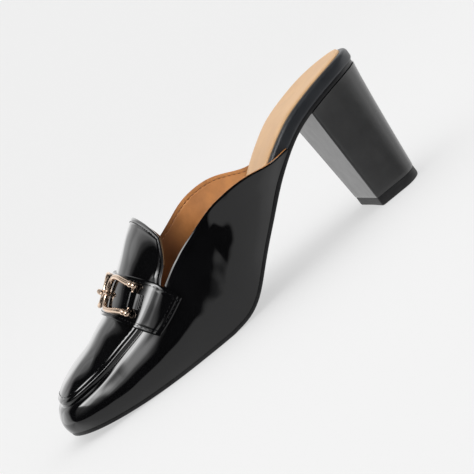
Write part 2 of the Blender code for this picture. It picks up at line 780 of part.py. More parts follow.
def rod(name, path, radii, finish, sides=10, closed=False):
    """A bar of round section swept along a path of points, with rounded caps from its radii."""
    mesh = bmesh.new()
    points = [np.asarray(p) for p in path]
    count = len(points)
    rings = []
    up = None
    for i, point in enumerate(points):
        if closed:
            run = points[(i + 1) % count] - points[i - 1]
        else:
            run = points[min(i + 1, count - 1)] - points[max(i - 1, 0)]
        run = run / np.linalg.norm(run)
        if up is None:
            up = np.array((0.0, 0.0, 1.0))
            if abs(run[2]) > 0.9:
                up = np.array((0.0, 1.0, 0.0))
        across = np.cross(run, up)
        across /= np.linalg.norm(across)
        up = np.cross(across, run)
        ring = []
        for k in range(sides):
            turn = 2.0 * math.pi * k / sides
            ring.append(mesh.verts.new(point + radii[i] * (math.cos(turn) * across + math.sin(turn) * up)))
        rings.append(ring)
    pairs = list(zip(rings, rings[1:])) + ([(rings[-1], rings[0])] if closed else [])
    for one, two in pairs:
        for k in range(sides):
            j = (k + 1) % sides
            mesh.faces.new((one[k], one[j], two[j], two[k]))
    if not closed:
        mesh.faces.new(rings[0][::-1])
        mesh.faces.new(rings[-1])
    return finish_mesh(name, mesh, finish, 60.0)


def rounded_ends(path, radius, ball):
    """A path with a ball at each end: extra points and the radius at every point."""
    points = [np.asarray(p) for p in path]
    first = points[0] - points[1]
    first /= np.linalg.norm(first)
    last = points[-1] - points[-2]
    last /= np.linalg.norm(last)
    caps = ((1.0, 0.28), (0.72, 0.74), (0.0, 1.0), (-0.72, 0.74))
    start = [points[0] + first * ball * forth for forth, _ in caps]
    end = [points[-1] + last * ball * forth for forth, _ in reversed(caps)]
    sizes = [ball * size for _, size in caps]
    return start + points[1:-1] + end, sizes + [radius] * (len(points) - 2) + sizes[::-1]


def build_link(name, side):
    """One horseshoe link: two arms with ball ends, joined by a rounded nose towards the middle."""
    lift = LINK_BAR / 2.0 + LINK_CLEAR
    outer = LINK_OUTER_WIDTH / 2.0
    nose = LINK_NOSE_WIDTH / 2.0
    turn_at = LINK_NOSE_AT + nose * NOSE_DEPTH
    plan = [(LINK_REACH, -outer), (LINK_PIN_AT - 0.0030, -outer * 1.02)]
    plan += [((LINK_PIN_AT + turn_at) / 2.0, -(outer + nose) / 2.0)]
    for k in range(9):
        angle = math.pi * k / 8
        plan.append((turn_at - nose * NOSE_DEPTH * math.sin(angle), -nose * math.cos(angle)))
    plan += [((LINK_PIN_AT + turn_at) / 2.0, (outer + nose) / 2.0)]
    plan += [(LINK_PIN_AT - 0.0030, outer * 1.02), (LINK_REACH, outer)]
    lifts = [LINK_BALL / 2.0 + LINK_CLEAR] + [lift] * (len(plan) - 2) + [LINK_BALL / 2.0 + LINK_CLEAR]
    path = [over_strap(LINK_SHIFT + side * x, y, z) for (x, y), z in zip(plan, lifts)]
    points, radii = rounded_ends(path, LINK_BAR / 2.0, LINK_BALL / 2.0)
    return rod(name, points, radii, ("pale_gold", PALE_GOLD))


def build_pin(name, side):
    """The thin pin across a link's open end, between its arms."""
    half = LINK_OUTER_WIDTH / 2.0 - LINK_BAR / 2.0 - CLEAR
    lift = LINK_BAR / 2.0 + LINK_CLEAR
    reach = LINK_SHIFT + side * LINK_PIN_AT
    path = [over_strap(reach, half * k, lift) for k in (-1.0, 0.0, 1.0)]
    return rod(name, path, [LINK_PIN / 2.0] * 3, ("pale_gold", PALE_GOLD), 8)


def build_joiner():
    """The short twisted bar between the two noses, over the links' own plane."""
    steps = 16
    half = JOINER_HALF
    swell = JOINER_BAR * 0.75
    path = []
    radii = []
    for k in range(steps + 1):
        share = 2.0 * k / steps - 1.0
        lift = LINK_CLEAR + LINK_BAR + JOINER_BAR / 2.0 + CLEAR
        offset = JOINER_SWAY * math.sin(math.pi * share)
        path.append(over_strap(LINK_SHIFT + share * half, offset, lift))
        radii.append(JOINER_BAR / 2.0 + (swell - JOINER_BAR / 2.0) * math.exp(-((share / 0.22) ** 2)))
    points, sizes = rounded_ends(path, JOINER_BAR / 2.0, JOINER_BAR * 0.62)
    sizes[4:-4] = radii[1:-1]
    return rod("joiner", points, sizes, ("pale_gold", PALE_GOLD))


def build_outsole():
    """The thin black sole, from under the heel seat to the toe."""
    stations = loop_stations(BESIDE, SEAT_TURNS, TOE_TURNS)
    outline = []
    for st in stations:
        x, along = outsole_edge(st.side, st.along, st.angle)
        outline.append((x, HEEL_MIDDLE - along * LENGTH))
    bevel = OUTSOLE_THICK * 0.3
    rings = (
        (bevel, ground),
        (0.0, lambda a: ground(a) + bevel * ground_stretch(a)),
        (0.0, outsole_top),
    )
    return slab("outsole", outline, rings, 4, ("black_sole", BLACK_EDGE))


def footbed_thickness(along):
    thin = smooth_step(along, 0.42, 0.60)
    thick = FOOTBED_THICK + (FOOTBED_FRONT_THICK - FOOTBED_THICK) * thin
    return thick * ground_stretch(along)


def footbed_top(along):
    return upper_base(along) + footbed_thickness(along)


def footbed_outline(stations):
    outline = []
    for st in stations:
        x, along = footbed_edge(st.side, st.along, st.angle)
        outline.append((x, HEEL_MIDDLE - along * LENGTH))
    return outline


def build_footbed():
    """The insole board with its padded edge, wrapped in black."""
    outline = footbed_outline(loop_stations(BESIDE, SEAT_TURNS, TOE_TURNS))
    r = FOOTBED_ROUND
    turn = math.sqrt(0.5)
    rings = (
        (0.0, upper_base),
        (0.0, lambda a: footbed_top(a) - r),
        (r * (1.0 - turn), lambda a: footbed_top(a) - r * (1.0 - turn)),
        (r, footbed_top),
    )
    return slab("footbed", outline, rings, 4, ("black_patent", BLACK_PATENT))


def build_sock():
    """The pale sock that covers the footbed inside its black edge."""
    outline = footbed_outline(loop_stations(BESIDE, SEAT_TURNS, TOE_TURNS))
    edge = SOCK_THICK * 0.6

    def over_bed(lift):
        return lambda a: footbed_top(a) + CLEAR + lift

    rings = (
        (SOCK_INSET, over_bed(0.0)),
        (SOCK_INSET, over_bed(SOCK_THICK - edge)),
        (SOCK_INSET + edge, over_bed(SOCK_THICK)),
    )
    return slab("sock", outline, rings, 4, ("tan_sock", TAN_SOCK))


def heel_outline(share):
    """Plan points (x, from the seat's back) of the heel at a share of the way down."""
    ease = share**0.85
    points = []
    for side in (1, -1):
        run = []
        for k in range(ARC_TURNS + 1):
            angle = math.pi / 2.0 * k / ARC_TURNS
            backward, across = corner_share(angle, SEAT_SQUARE)
            top_back = HEEL_TOP_INSET + (SEAT_ARC * LENGTH - HEEL_TOP_INSET) * (1.0 - backward)
            top_x = (FOOTBED_HALF[side](top_back / LENGTH) - HEEL_TOP_INSET) * across
            foot_back = HEEL_FOOT_BACK + HEEL_FOOT_ARC * (1.0 - backward)
            foot_x = HEEL_FOOT_HALF * across
            run.append((top_x + (foot_x - top_x) * ease, top_back + (foot_back - top_back) * ease))
        breast = HEEL_TOP_BREAST + (HEEL_FOOT_BREAST - HEEL_TOP_BREAST) * share
        top_half = FOOTBED_HALF[side](HEEL_TOP_BREAST / LENGTH) - HEEL_TOP_INSET
        half = top_half + (HEEL_FOOT_HALF - top_half) * ease
        r = HEEL_EDGE_ROUND
        run.append((half, breast - r))
        run.append((half - 0.3 * r, breast - 0.3 * r))
        run.append((half - r, breast))
        points.append([(side * x, back) for x, back in run])
    lateral, medial = points
    return lateral + medial[:0:-1]


def loft_rings(name, rings, finish, sharp_angle):
    """A closed solid through rings of equal count, with flat or given end faces."""
    mesh = bmesh.new()
    loops = [[mesh.verts.new(p) for p in ring] for ring in rings]
    count = len(loops[0])
    for low, high in zip(loops, loops[1:]):
        for i in range(count):
            j = (i + 1) % count
            mesh.faces.new((low[i], low[j], high[j], high[i]))
    mesh.faces.new(loops[0][::-1])
    mesh.faces.new(loops[-1])
    return finish_mesh(name, mesh, finish, sharp_angle)


def build_heel():
    """The block heel: its top follows the sole, its foot sits on the top piece."""
    foot = TOP_PIECE_THICK + CLEAR
    shares = (0.0, 0.3, 0.65, 1.0)
    rings = []
    for share in reversed(shares):
        ring = []
        for x, back in heel_outline(share):
            along = back / LENGTH
            top = ground(along) - CLEAR
            ring.append((x, HEEL_MIDDLE - back, foot + (top - foot) * (1.0 - share)))
        rings.append(ring)
    return loft_rings("heel", rings, ("heel_wrap", BLACK_EDGE), 30.0)


def build_top_piece():
    """The rubber tip under the heel, with an eased lower edge."""
    ring = [(x, HEEL_MIDDLE - back) for x, back in heel_outline(1.0)]
    centre = np.array((0.0, 0.0))

    def shrunk(distance, z):
        made = []
        for x, y in ring:
            away = np.array((x, y)) - centre
            size = np.linalg.norm(away)
            x2, y2 = centre + away * (1.0 - distance / size)
            made.append((x2, y2, z))
        return made

    rings = [
        shrunk(TOP_PIECE_INSET + TOP_PIECE_BEVEL, 0.0),
        shrunk(TOP_PIECE_INSET, TOP_PIECE_BEVEL),
        shrunk(TOP_PIECE_INSET, TOP_PIECE_THICK),
    ]
    return loft_rings("top_piece", rings, ("black_rubber", BLACK_RUBBER), 30.0)


def main():
    clear_scene()
    build_upper()
    build_tongue()
    build_strap()
    for name, side in (("lateral", 1), ("medial", -1)):
        build_link("link_" + name, side)
        build_pin("pin_" + name, side)
    build_joiner()
    build_outsole()
    build_footbed()
    build_sock()
    build_heel()
    build_top_piece()


main()
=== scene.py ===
"""Looks of a left heeled loafer mule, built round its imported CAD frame.

Metres, Z up, toe along -Y, outer side along +X, origin under the middle of the heel's foot.
"""

import logging
import math
from collections.abc import Callable, Sequence
from dataclasses import dataclass, field
from enum import Enum
from typing import NamedTuple

import bpy
import numpy as np
from mathutils import Matrix, Vector, noise


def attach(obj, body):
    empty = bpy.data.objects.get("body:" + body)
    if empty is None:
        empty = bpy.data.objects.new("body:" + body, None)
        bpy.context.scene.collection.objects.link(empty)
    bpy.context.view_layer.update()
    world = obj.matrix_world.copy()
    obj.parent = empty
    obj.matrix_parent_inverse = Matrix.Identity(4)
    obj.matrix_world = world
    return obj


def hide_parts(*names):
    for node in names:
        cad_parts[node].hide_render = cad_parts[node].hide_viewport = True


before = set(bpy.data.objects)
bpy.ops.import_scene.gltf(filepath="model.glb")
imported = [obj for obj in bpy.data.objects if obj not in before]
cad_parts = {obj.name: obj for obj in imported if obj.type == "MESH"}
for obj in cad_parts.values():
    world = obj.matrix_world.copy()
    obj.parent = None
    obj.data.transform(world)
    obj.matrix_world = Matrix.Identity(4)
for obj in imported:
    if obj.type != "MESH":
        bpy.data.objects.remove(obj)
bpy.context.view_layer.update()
LOG = logging.getLogger("mule")
MM = 0.001
TINY = 1e-9
SKIN_GAP = 0.00005

Kit = dict[str, bpy.types.Material]


class Side(Enum):
    """The outer and the inner side of a left shoe, by the sign of X."""

    LATERAL = 1
    MEDIAL = -1


class Slot(Enum):
    """The record's material slots."""

    PATENT = "black_patent"
    HEEL_WRAP = "heel_wrap"
    SOLE = "black_sole"
    RUBBER = "black_rubber"
    SOCK = "tan_sock"
    GOLD = "pale_gold"


# Working with meshes


def deselect() -> None:
    """Leaves edit mode and selects nothing."""
    if bpy.context.object and bpy.context.object.mode != "OBJECT":
        bpy.ops.object.mode_set(mode="OBJECT")
    bpy.ops.object.select_all(action="DESELECT")


def pick(piece: bpy.types.Object) -> None:
    """Makes one object the only selected and the active one."""
    deselect()
    piece.select_set(True)
    bpy.context.view_layer.objects.active = piece


def edit(piece: bpy.types.Object, work: Callable[[], object]) -> None:
    """Runs edit-mode operators on the whole of one mesh.

    Args:
        piece: the mesh object.
        work: what to run while everything in it is selected.
    """
    pick(piece)
    bpy.ops.object.mode_set(mode="EDIT")
    bpy.ops.mesh.select_all(action="SELECT")
    work()
    bpy.ops.object.mode_set(mode="OBJECT")


def weld(piece: bpy.types.Object, reach: float = 2e-6) -> None:
    """Joins points that lie on each other."""
    edit(piece, lambda: bpy.ops.mesh.remove_doubles(threshold=reach))


def mapped_grid(name: str, points: np.ndarray, flip: bool = False) -> bpy.types.Object:
    """A grid primitive whose points are carried to given places.

    Args:
        name: the object's name.
        points: (rows, columns, 3) places.
        flip: turns the faces over.

    Returns:
        The new mesh object, with its UV map in grid shares.
    """
    rows, columns = points.shape[:2]
    deselect()
    bpy.ops.mesh.primitive_grid_add(x_subdivisions=columns - 1, y_subdivisions=rows - 1, size=1.0)
    piece = bpy.context.object
    piece.name = name
    piece.data.name = name
    put(piece, points)
    if flip:
        edit(piece, lambda: bpy.ops.mesh.flip_normals())
    return piece


def join(name: str, pieces: Sequence[bpy.types.Object]) -> bpy.types.Object:
    """Joins mesh objects into one of the given name."""
    deselect()
    for piece in pieces:
        piece.select_set(True)
    bpy.context.view_layer.objects.active = pieces[0]
    if len(pieces) > 1:
        bpy.ops.object.join()
    joined = bpy.context.object
    joined.name = name
    joined.data.name = name
    return joined


def modify(piece: bpy.types.Object, kind: str, **settings: object) -> None:
    """Adds one modifier with its settings and applies it."""
    pick(piece)
    modifier = piece.modifiers.new(kind.title(), kind)
    for key, value in settings.items():
        setattr(modifier, key, value)
    bpy.ops.object.modifier_apply(modifier=modifier.name)


def thicken(piece: bpy.types.Object, thickness: float, **settings: object) -> None:
    """Gives an open skin its thickness, inwards."""
    modify(piece, "SOLIDIFY", thickness=thickness, offset=-1.0, **settings)


def smooth(piece: bpy.types.Object, angle: float) -> None:
    """Smooth shading with sharp edges past an angle in degrees."""
    pick(piece)
    bpy.ops.object.shade_smooth_by_angle(angle=math.radians(angle))


def places(piece: bpy.types.Object) -> tuple[np.ndarray, np.ndarray]:
    """The points of a mesh and the normals there."""
    count = len(piece.data.vertices)
    at = np.zeros(count * 3, np.float32)
    normals = np.zeros(count * 3, np.float32)
    piece.data.vertices.foreach_get("co", at)
    piece.data.vertices.foreach_get("normal", normals)
    return at.reshape(-1, 3).astype(float), normals.reshape(-1, 3).astype(float)


def put(piece: bpy.types.Object, at: np.ndarray) -> None:
    """Moves all points of a mesh."""
    piece.data.vertices.foreach_set("co", np.ascontiguousarray(at, dtype=np.float32).reshape(-1))
    piece.data.update()


def tag(piece: bpy.types.Object, name: str, values: np.ndarray) -> None:
    """Keeps one number per point as an attribute."""
    layer = piece.data.attributes.new(name, "FLOAT", "POINT")
    layer.data.foreach_set("value", np.ascontiguousarray(values, dtype=np.float32).reshape(-1))


def tagged(piece: bpy.types.Object, name: str) -> np.ndarray:
    """Reads an attribute back."""
    values = np.zeros(len(piece.data.vertices), np.float32)
    piece.data.attributes[name].data.foreach_get("value", values)
    return values.astype(float)


def rolled(
    name: str, path: np.ndarray, radii: np.ndarray, sides: int, flat: float = 1.0
) -> bpy.types.Object:
    """A bar of round section: a grid rolled round a path, closed at points of no radius.

    Args:
        name: the object's name.
        path: (n, 3) middle line.
        radii: (n,) radius at each point.
        sides: faces round the bar.
        flat: the section's height as a share of its width.

    Returns:
        The closed bar.
    """
    run = np.gradient(path, axis=0)
    run /= np.linalg.norm(run, axis=1)[:, None]
    up = np.array((0.0, 0.0, 1.0)) if abs(run[0][2]) < 0.9 else np.array((0.0, 1.0, 0.0))
    turn = np.linspace(0.0, 2.0 * math.pi, sides + 1)
    rows = []
    for point, forward, radius in zip(path, run, radii):
        across = np.cross(forward, up)
        across /= np.linalg.norm(across)
        up = np.cross(across, forward)
        ring = np.cos(turn)[:, None] * across + flat * np.sin(turn)[:, None] * up
        rows.append(point + radius * ring)
    bar = mapped_grid(name, np.array(rows), flip=True)
    weld(bar)
    return bar


def copies(name: str, model: bpy.types.Object, spots: Sequence[Matrix]) -> bpy.types.Object:
    """One mesh made of copies of a model, one at each spot; the model is used up."""
    made = []
    for spot in spots:
        data = model.data.copy()
        data.transform(spot)
        copy = bpy.data.objects.new(name, data)
        bpy.context.scene.collection.objects.link(copy)
        made.append(copy)
    bpy.data.objects.remove(model)
    return join(name, made)


def stand(at: np.ndarray, forward: np.ndarray, normal: np.ndarray) -> Matrix:
    """A placement whose X runs forward and whose Z is the normal."""
    x = Vector(forward).normalized()
    y = Vector(normal).cross(x).normalized()
    z = x.cross(y)
    turn = Matrix((x, y, z)).transposed().to_4x4()
    return Matrix.Translation(Vector(at)) @ turn


def ease(x: float | np.ndarray, start: float, end: float) -> float | np.ndarray:
    """0 before start, 1 after end and a smooth rise between, either way round."""
    t = np.clip((np.asarray(x, float) - start) / (end - start), 0.0, 1.0)
    return t * t * (3.0 - 2.0 * t)


def hump(x: float | np.ndarray, middle: float, width: float) -> float | np.ndarray:
    """A soft bump of height 1."""
    return np.exp(-(((np.asarray(x, float) - middle) / width) ** 2))


class Swell(NamedTuple):
    """A soft rise, or a furrow where its height is below 0, in millimetres."""

    height: float
    middle: float
    width: float


def swells(x: np.ndarray, rows: Sequence[Swell]) -> np.ndarray:
    """The sum of several swells at a distance, all in millimetres."""
    return sum(row.height * hump(x, row.middle, row.width) for row in rows)


def measured(points: np.ndarray) -> np.ndarray:
    """How far along a path each of its points is."""
    return np.concatenate(((0.0,), np.cumsum(np.linalg.norm(np.diff(points, axis=0), axis=1))))


def follow(path: np.ndarray, at: np.ndarray, reach: float) -> np.ndarray:
    """The place on a path at a distance from its start."""
    return np.array([np.interp(reach, at, path[:, i]) for i in range(3)])


def span(line: Callable[[float], np.ndarray]) -> float:
    """The straight distance between a line's two ends."""
    return float(np.linalg.norm(line(1.0) - line(0.0)))


def ripple(at: Sequence[float], scale: float, shift: float = 0.0) -> float:
    """Smooth, repeatable unevenness between about -1 and 1."""
    return noise.noise(Vector((at[0] * scale + shift, at[1] * scale - shift, at[2] * scale)))


def soften(rows: np.ndarray, reach: float) -> np.ndarray:
    """Smooths an array along its first axis, with straight run-outs at its ends.

    Args:
        rows: what to smooth.
        reach: how many rows the smoothing spans to each side.

    Returns:
        The smoothed array.
    """
    wide = int(math.ceil(3.0 * reach))
    weights = np.exp(-0.5 * (np.arange(-wide, wide + 1) / reach) ** 2)
    weights /= weights.sum()
    steps = np.arange(wide, 0, -1).reshape((-1,) + (1,) * (rows.ndim - 1))
    before = rows[0] - (rows[1] - rows[0]) * steps
    after = rows[-1] + (rows[-1] - rows[-2]) * steps[::-1]
    padded = np.concatenate((before, rows, after))
    windows = (padded[i : i + 2 * wide + 1] for i in range(len(rows)))
    return np.array([np.tensordot(weights, window, axes=1) for window in windows])


class Spline:
    """A natural cubic spline through points, which runs on in a straight line past its ends."""

    def __init__(self, at: Sequence[float], values: Sequence) -> None:
        """Args: at, rising places; values, a number or a point at each."""
        self.at = np.asarray(at, float)
        self.values = np.asarray(values, float)
        count = len(self.at)
        self.step = np.diff(self.at)
        matrix = np.eye(count)
        right = np.zeros((count,) + self.values.shape[1:])
        for i in range(1, count - 1):
            matrix[i, i - 1] = self.step[i - 1]
            matrix[i, i] = 2.0 * (self.step[i - 1] + self.step[i])
            matrix[i, i + 1] = self.step[i]
            rise = (self.values[i + 1] - self.values[i]) / self.step[i]
            before = (self.values[i] - self.values[i - 1]) / self.step[i - 1]
            right[i] = 6.0 * (rise - before)
        self.bend = np.linalg.solve(matrix, right.reshape(count, -1)).reshape(right.shape)

    def end_slope(self, last: bool) -> np.ndarray:
        """The slope at the last or the first point."""
        i = len(self.step) - 1 if last else 0
        rise = (self.values[i + 1] - self.values[i]) / self.step[i]
        if last:
            return rise + self.step[i] * (self.bend[i] + 2.0 * self.bend[i + 1]) / 6.0
        return rise - self.step[i] * (2.0 * self.bend[i] + self.bend[i + 1]) / 6.0

    def __call__(self, x: float) -> np.ndarray:
        """The value at x."""
        if x <= self.at[0]:
            return self.values[0] + (x - self.at[0]) * self.end_slope(False)
        if x >= self.at[-1]:
            return self.values[-1] + (x - self.at[-1]) * self.end_slope(True)
        i = int(np.searchsorted(self.at, x)) - 1
        h = self.step[i]
        a = (self.at[i + 1] - x) / h
        b = 1.0 - a
        cubic = (a**3 - a) * self.bend[i] + (b**3 - b) * self.bend[i + 1]
        return a * self.values[i] + b * self.values[i + 1] + cubic * h * h / 6.0


def column(rows: Sequence[NamedTuple], value: str, scale: float = 1.0) -> Spline:
    """A spline of one column of a table along the length, the values scaled."""
    return Spline([row.along for row in rows], [getattr(row, value) * scale for row in rows])


# The last


class Section(NamedTuple):
    """Half widths of the last at four heights and the height of its edge, as shares."""

    along: float
    sole: float
    bulge: float
    shoulder: float
    edge: float
    height: float


class ToeEnd(NamedTuple):
    """Where a line closes at the toe and how square it turns the corner."""

    front: float
    square: float


class Level(NamedTuple):
    """A height at a share of the length."""

    along: float
    height: float


class TongueRow(NamedTuple):
    """One row across the tongue."""

    side_along: float
    crown_along: float
    half: float
    side: float
    crown: float


class Plan(NamedTuple):
    """Half widths of the footbed at a share of the length."""

    along: float
    lateral: float
    medial: float


LATERAL_ROWS = (
    Section(0.265, 0.745, 0.747, 0.749, 0.751, 0.020),
    Section(0.315, 0.768, 0.802, 0.838, 0.862, 0.170),
    Section(0.378, 0.795, 0.888, 0.958, 0.993, 0.472),
    Section(0.441, 0.815, 0.936, 1.014, 1.046, 0.736),
    Section(0.504, 0.850, 0.964, 1.024, 1.034, 0.950),
    Section(0.567, 0.896, 0.985, 1.008, 0.994, 0.980),
    Section(0.622, 0.925, 0.998, 0.993, 0.957, 0.878),
    Section(0.676, 0.930, 0.998, 0.974, 0.921, 0.724),
    Section(0.735, 0.906, 0.966, 0.934, 0.858, 0.590),
    Section(0.790, 0.850, 0.907, 0.880, 0.794, 0.516),
    Section(0.840, 0.785, 0.842, 0.814, 0.722, 0.446),
    Section(0.905, 0.698, 0.752, 0.722, 0.590, 0.356),
    Section(0.972, 0.636, 0.690, 0.660, 0.540, 0.266),
)
MEDIAL_ROWS = (
    Section(0.265, 0.583, 0.584, 0.585, 0.586, 0.020),
    Section(0.315, 0.524, 0.556, 0.590, 0.612, 0.150),
    Section(0.378, 0.460, 0.590, 0.704, 0.770, 0.505),
    Section(0.441, 0.424, 0.634, 0.780, 0.860, 0.796),
    Section(0.504, 0.453, 0.723, 0.862, 0.915, 0.996),
    Section(0.567, 0.607, 0.831, 0.914, 0.930, 1.010),
    Section(0.622, 0.759, 0.908, 0.935, 0.918, 0.912),
    Section(0.676, 0.843, 0.949, 0.945, 0.880, 0.752),
    Section(0.735, 0.875, 0.945, 0.906, 0.775, 0.604),
    Section(0.790, 0.834, 0.896, 0.851, 0.700, 0.516),
    Section(0.840, 0.776, 0.832, 0.795, 0.680, 0.446),
    Section(0.905, 0.692, 0.748, 0.712, 0.612, 0.356),
    Section(0.972, 0.620, 0.672, 0.642, 0.585, 0.266),
)
RAIL_HEIGHTS = (0.0, 0.36, 0.74, 1.0)
TOE_ENDS = (ToeEnd(0.9985, 3.2), ToeEnd(1.0, 3.2), ToeEnd(0.989, 3.3), ToeEnd(0.974, 4.0))
CROWN_ROWS = (
    Level(0.690, 1.092),
    Level(0.722, 0.986),
    Level(0.770, 0.820),
    Level(0.807, 0.742),
    Level(0.847, 0.646),
    Level(0.887, 0.574),
    Level(0.924, 0.496),
    Level(0.950, 0.436),
    Level(0.975, 0.372),
)
TONGUE_ROWS = (
    TongueRow(0.661, 0.719, 0.926, 0.756, 0.986),
    TongueRow(0.648, 0.697, 0.914, 0.842, 1.074),
    TongueRow(0.628, 0.668, 0.924, 0.930, 1.182),
    TongueRow(0.607, 0.636, 0.920, 1.076, 1.308),
    TongueRow(0.592, 0.600, 0.914, 1.232, 1.426),
)
SHANK_ROWS = (
    Level(0.000, 1.012),
    Level(0.084, 0.985),
    Level(0.168, 0.926),
    Level(0.210, 0.880),
    Level(0.252, 0.808),
    Level(0.294, 0.718),
    Level(0.336, 0.608),
    Level(0.378, 0.484),
    Level(0.420, 0.360),
    Level(0.462, 0.228),
    Level(0.504, 0.102),
    Level(0.546, 0.028),
    Level(0.588, 0.004),
)
FOOTBED_ROWS = (
    Plan(0.118, 0.684, 0.690),
    Plan(0.190, 0.704, 0.656),
    Plan(0.252, 0.714, 0.578),
    Plan(0.315, 0.720, 0.478),
    Plan(0.378, 0.730, 0.402),
    Plan(0.441, 0.746, 0.366),
    Plan(0.504, 0.780, 0.394),
    Plan(0.567, 0.832, 0.545),
    Plan(0.622, 0.862, 0.698),
    Plan(0.676, 0.868, 0.780),
    Plan(0.735, 0.842, 0.810),
    Plan(0.790, 0.786, 0.770),
    Plan(0.840, 0.714, 0.702),
    Plan(0.905, 0.616, 0.612),
    Plan(0.972, 0.514, 0.514),
)
FOOTBED_END = ToeEnd(0.979, 3.2)


class Station(NamedTuple):
    """A line across an outline: beside the foot, or fanned round its toe or seat by an angle."""

    side: int
    along: float
    angle: float | None


def corner_share(angle: float, square: float) -> tuple[float, float]:
    """(forward, across) shares of a squared toe outline at an angle from the middle line."""
    c, s = abs(math.cos(angle)), abs(math.sin(angle))
    reach = (c**square + s**square) ** (-1.0 / square)
    return reach * c, reach * s


@dataclass
class Last:
    """The foot form over which every piece is laid, with the same sizes as the solids."""

    length: float = 0.238
    half_ball: float = 0.0415
    heel_rise: float = 0.0673
    toe_spring: float = 0.0062
    collar_rise: float = 0.050
    crown_rise: float = 0.050
    heel_middle: float = 0.02335
    sole_thick: float = 0.0020
    clear: float = 0.0003
    ball_back: float = 0.630
    ball_front: float = 0.725
    pole: float = 0.84
    notch: float = 0.661
    apron_bow: float = 0.058
    crown_power: float = 2.6
    toe_power: float = 5.5
    tongue_power: float = 1.85
    tongue_corner: float = 0.0030
    seat_arc: float = 0.118
    seat_square: float = 2.08
    half: dict = field(init=False)
    edge_height: dict = field(init=False)

    def __post_init__(self) -> None:
        """Builds the splines through the tables."""
        tables = {1: LATERAL_ROWS, -1: MEDIAL_ROWS}
        rails = ("sole", "bulge", "shoulder", "edge")
        self.half = {s: [column(t, r, self.half_ball) for r in rails] for s, t in tables.items()}
        self.edge_height = {s: column(t, "height", self.collar_rise) for s, t in tables.items()}
        self.crown = column(CROWN_ROWS, "height", self.crown_rise)
        self.shank = column(SHANK_ROWS, "height", self.heel_rise)
        self.bed_half = {
            1: column(FOOTBED_ROWS, "lateral", self.half_ball),
            -1: column(FOOTBED_ROWS, "medial", self.half_ball),
        }
        steps = np.linspace(0.0, 1.0, len(TONGUE_ROWS))
        self.tongue = Spline(steps, [tuple(row) for row in TONGUE_ROWS])

    def place(self, x: float, along: float, z: float) -> np.ndarray:
        """A point from its sideways place, its share of the length and its height."""
        return np.array((x, self.heel_middle - along * self.length, z))

    def along_of(self, y: float) -> float:
        """The share of the length at a Y."""
        return (self.heel_middle - y) / self.length

    def ground(self, along: float) -> float:
        """Height of the outsole's underside."""
        if along <= self.ball_back:
            end = SHANK_ROWS[-1].along
            flat = float(ease(along, end, self.ball_back))
            reach = min(along, end + 0.5 * (self.ball_back - end))
            return max(float(self.shank(reach)), 0.0) * (1.0 - flat)
        past = max(along - self.ball_front, 0.0) / (1.0 - self.ball_front)
        return self.toe_spring * past**2.6

    def stretch(self, along: float) -> float:
        """How much taller a layer is, measured upright, where the sole slopes."""
        small = 0.004
        rise = self.ground(along + small) - self.ground(along - small)
        slope = rise / (2.0 * small * self.length)
        return math.sqrt(1.0 + slope * slope)

    def sole_top(self, along: float) -> float:
        """Height of the outsole's upper face."""
        return self.ground(along) + self.sole_thick * self.stretch(along)

    def base(self, along: float) -> float:
        """Height at which the upper and the footbed start."""
        return self.sole_top(along) + self.clear * self.stretch(along)

    def rail_at(self, rail: int, st: Station) -> tuple[float, float]:
        """(x, along) of one rail at a station."""
        if st.angle is None:
            return st.side * float(self.half[st.side][rail](st.along)), st.along
        end = TOE_ENDS[rail]
        forward, across = corner_share(st.angle, end.square)
        there = self.pole + forward * (end.front - self.pole)
        return st.side * float(self.half[st.side][rail](there)) * across, there

    def wall_line(self, st: Station) -> Spline:
        """The line up the vamp or quarter from the sole (0) to the seam or collar (1)."""
        foot = self.base(self.rail_at(0, st)[1])
        tall = float(self.edge_height[st.side](self.rail_at(3, st)[1]))
        points = []
        for rail, share in enumerate(RAIL_HEIGHTS):
            x, there = self.rail_at(rail, st)
            points.append(self.place(x, there, foot + share * tall))
        return Spline(RAIL_HEIGHTS, points)

    def crown_level(self, along: float) -> float:
        """Height of the apron on its middle line."""
        return self.base(along) + float(self.crown(along))

    def bow(self, along: float) -> float:
        """How far the apron's cross lines bow to the toe on the middle line."""
        return self.apron_bow * (1.0 - float(ease(along, self.notch, self.pole)))

    def apron_line(self, st: Station) -> Callable[[float], np.ndarray]:
        """The line across the apron at a station, from its middle (0) to its seam (1)."""
        seam = self.wall_line(st)(1.0)
        seam_along = self.along_of(seam[1])
        drop = seam[2] - self.crown_level(seam_along)
        power = self.crown_power
        if st.angle is not None:
            power += (self.toe_power - self.crown_power) * math.cos(st.angle) ** 2

        def at(across: float) -> np.ndarray:
            """A point of the line."""
            if st.angle is None:
                there = st.along + self.bow(st.along) * (1.0 - across * across)
            else:
                there = self.pole + across * (seam_along - self.pole)
            tall = self.crown_level(there) + drop * across**power
            return self.place(across * seam[0], there, tall)

        return at

    def tongue_row(self, step: float, across: float) -> np.ndarray:
        """The tongue's own rows, before its root is fitted to the apron."""
        wide = abs(across)
        side_along, crown_along, half, side, crown = self.tongue(step)
        power = self.crown_power + (self.tongue_power - self.crown_power) * step
        there = crown_along + (side_along - crown_along) * wide**2
        tall = (crown + (side - crown) * wide**power) * self.crown_rise
        foot = self.base(max(there, self.ball_back))
        return self.place(across * half * self.half_ball, there, foot + tall)

    def tongue_point(self, step: float, across: float) -> np.ndarray:
        """A point of the tongue: step 0 at its root, 1 at its top; across -1 to 1."""
        wide = abs(across)
        step = step * (1.0 - (self.tongue_corner / self.crown_rise) * wide**8)
        side = 1 if across >= 0.0 else -1
        root = self.apron_line(Station(side, self.notch, None))(wide) - self.tongue_row(0.0, across)
        return self.tongue_row(step, across) + root * (1.0 - step) ** 2

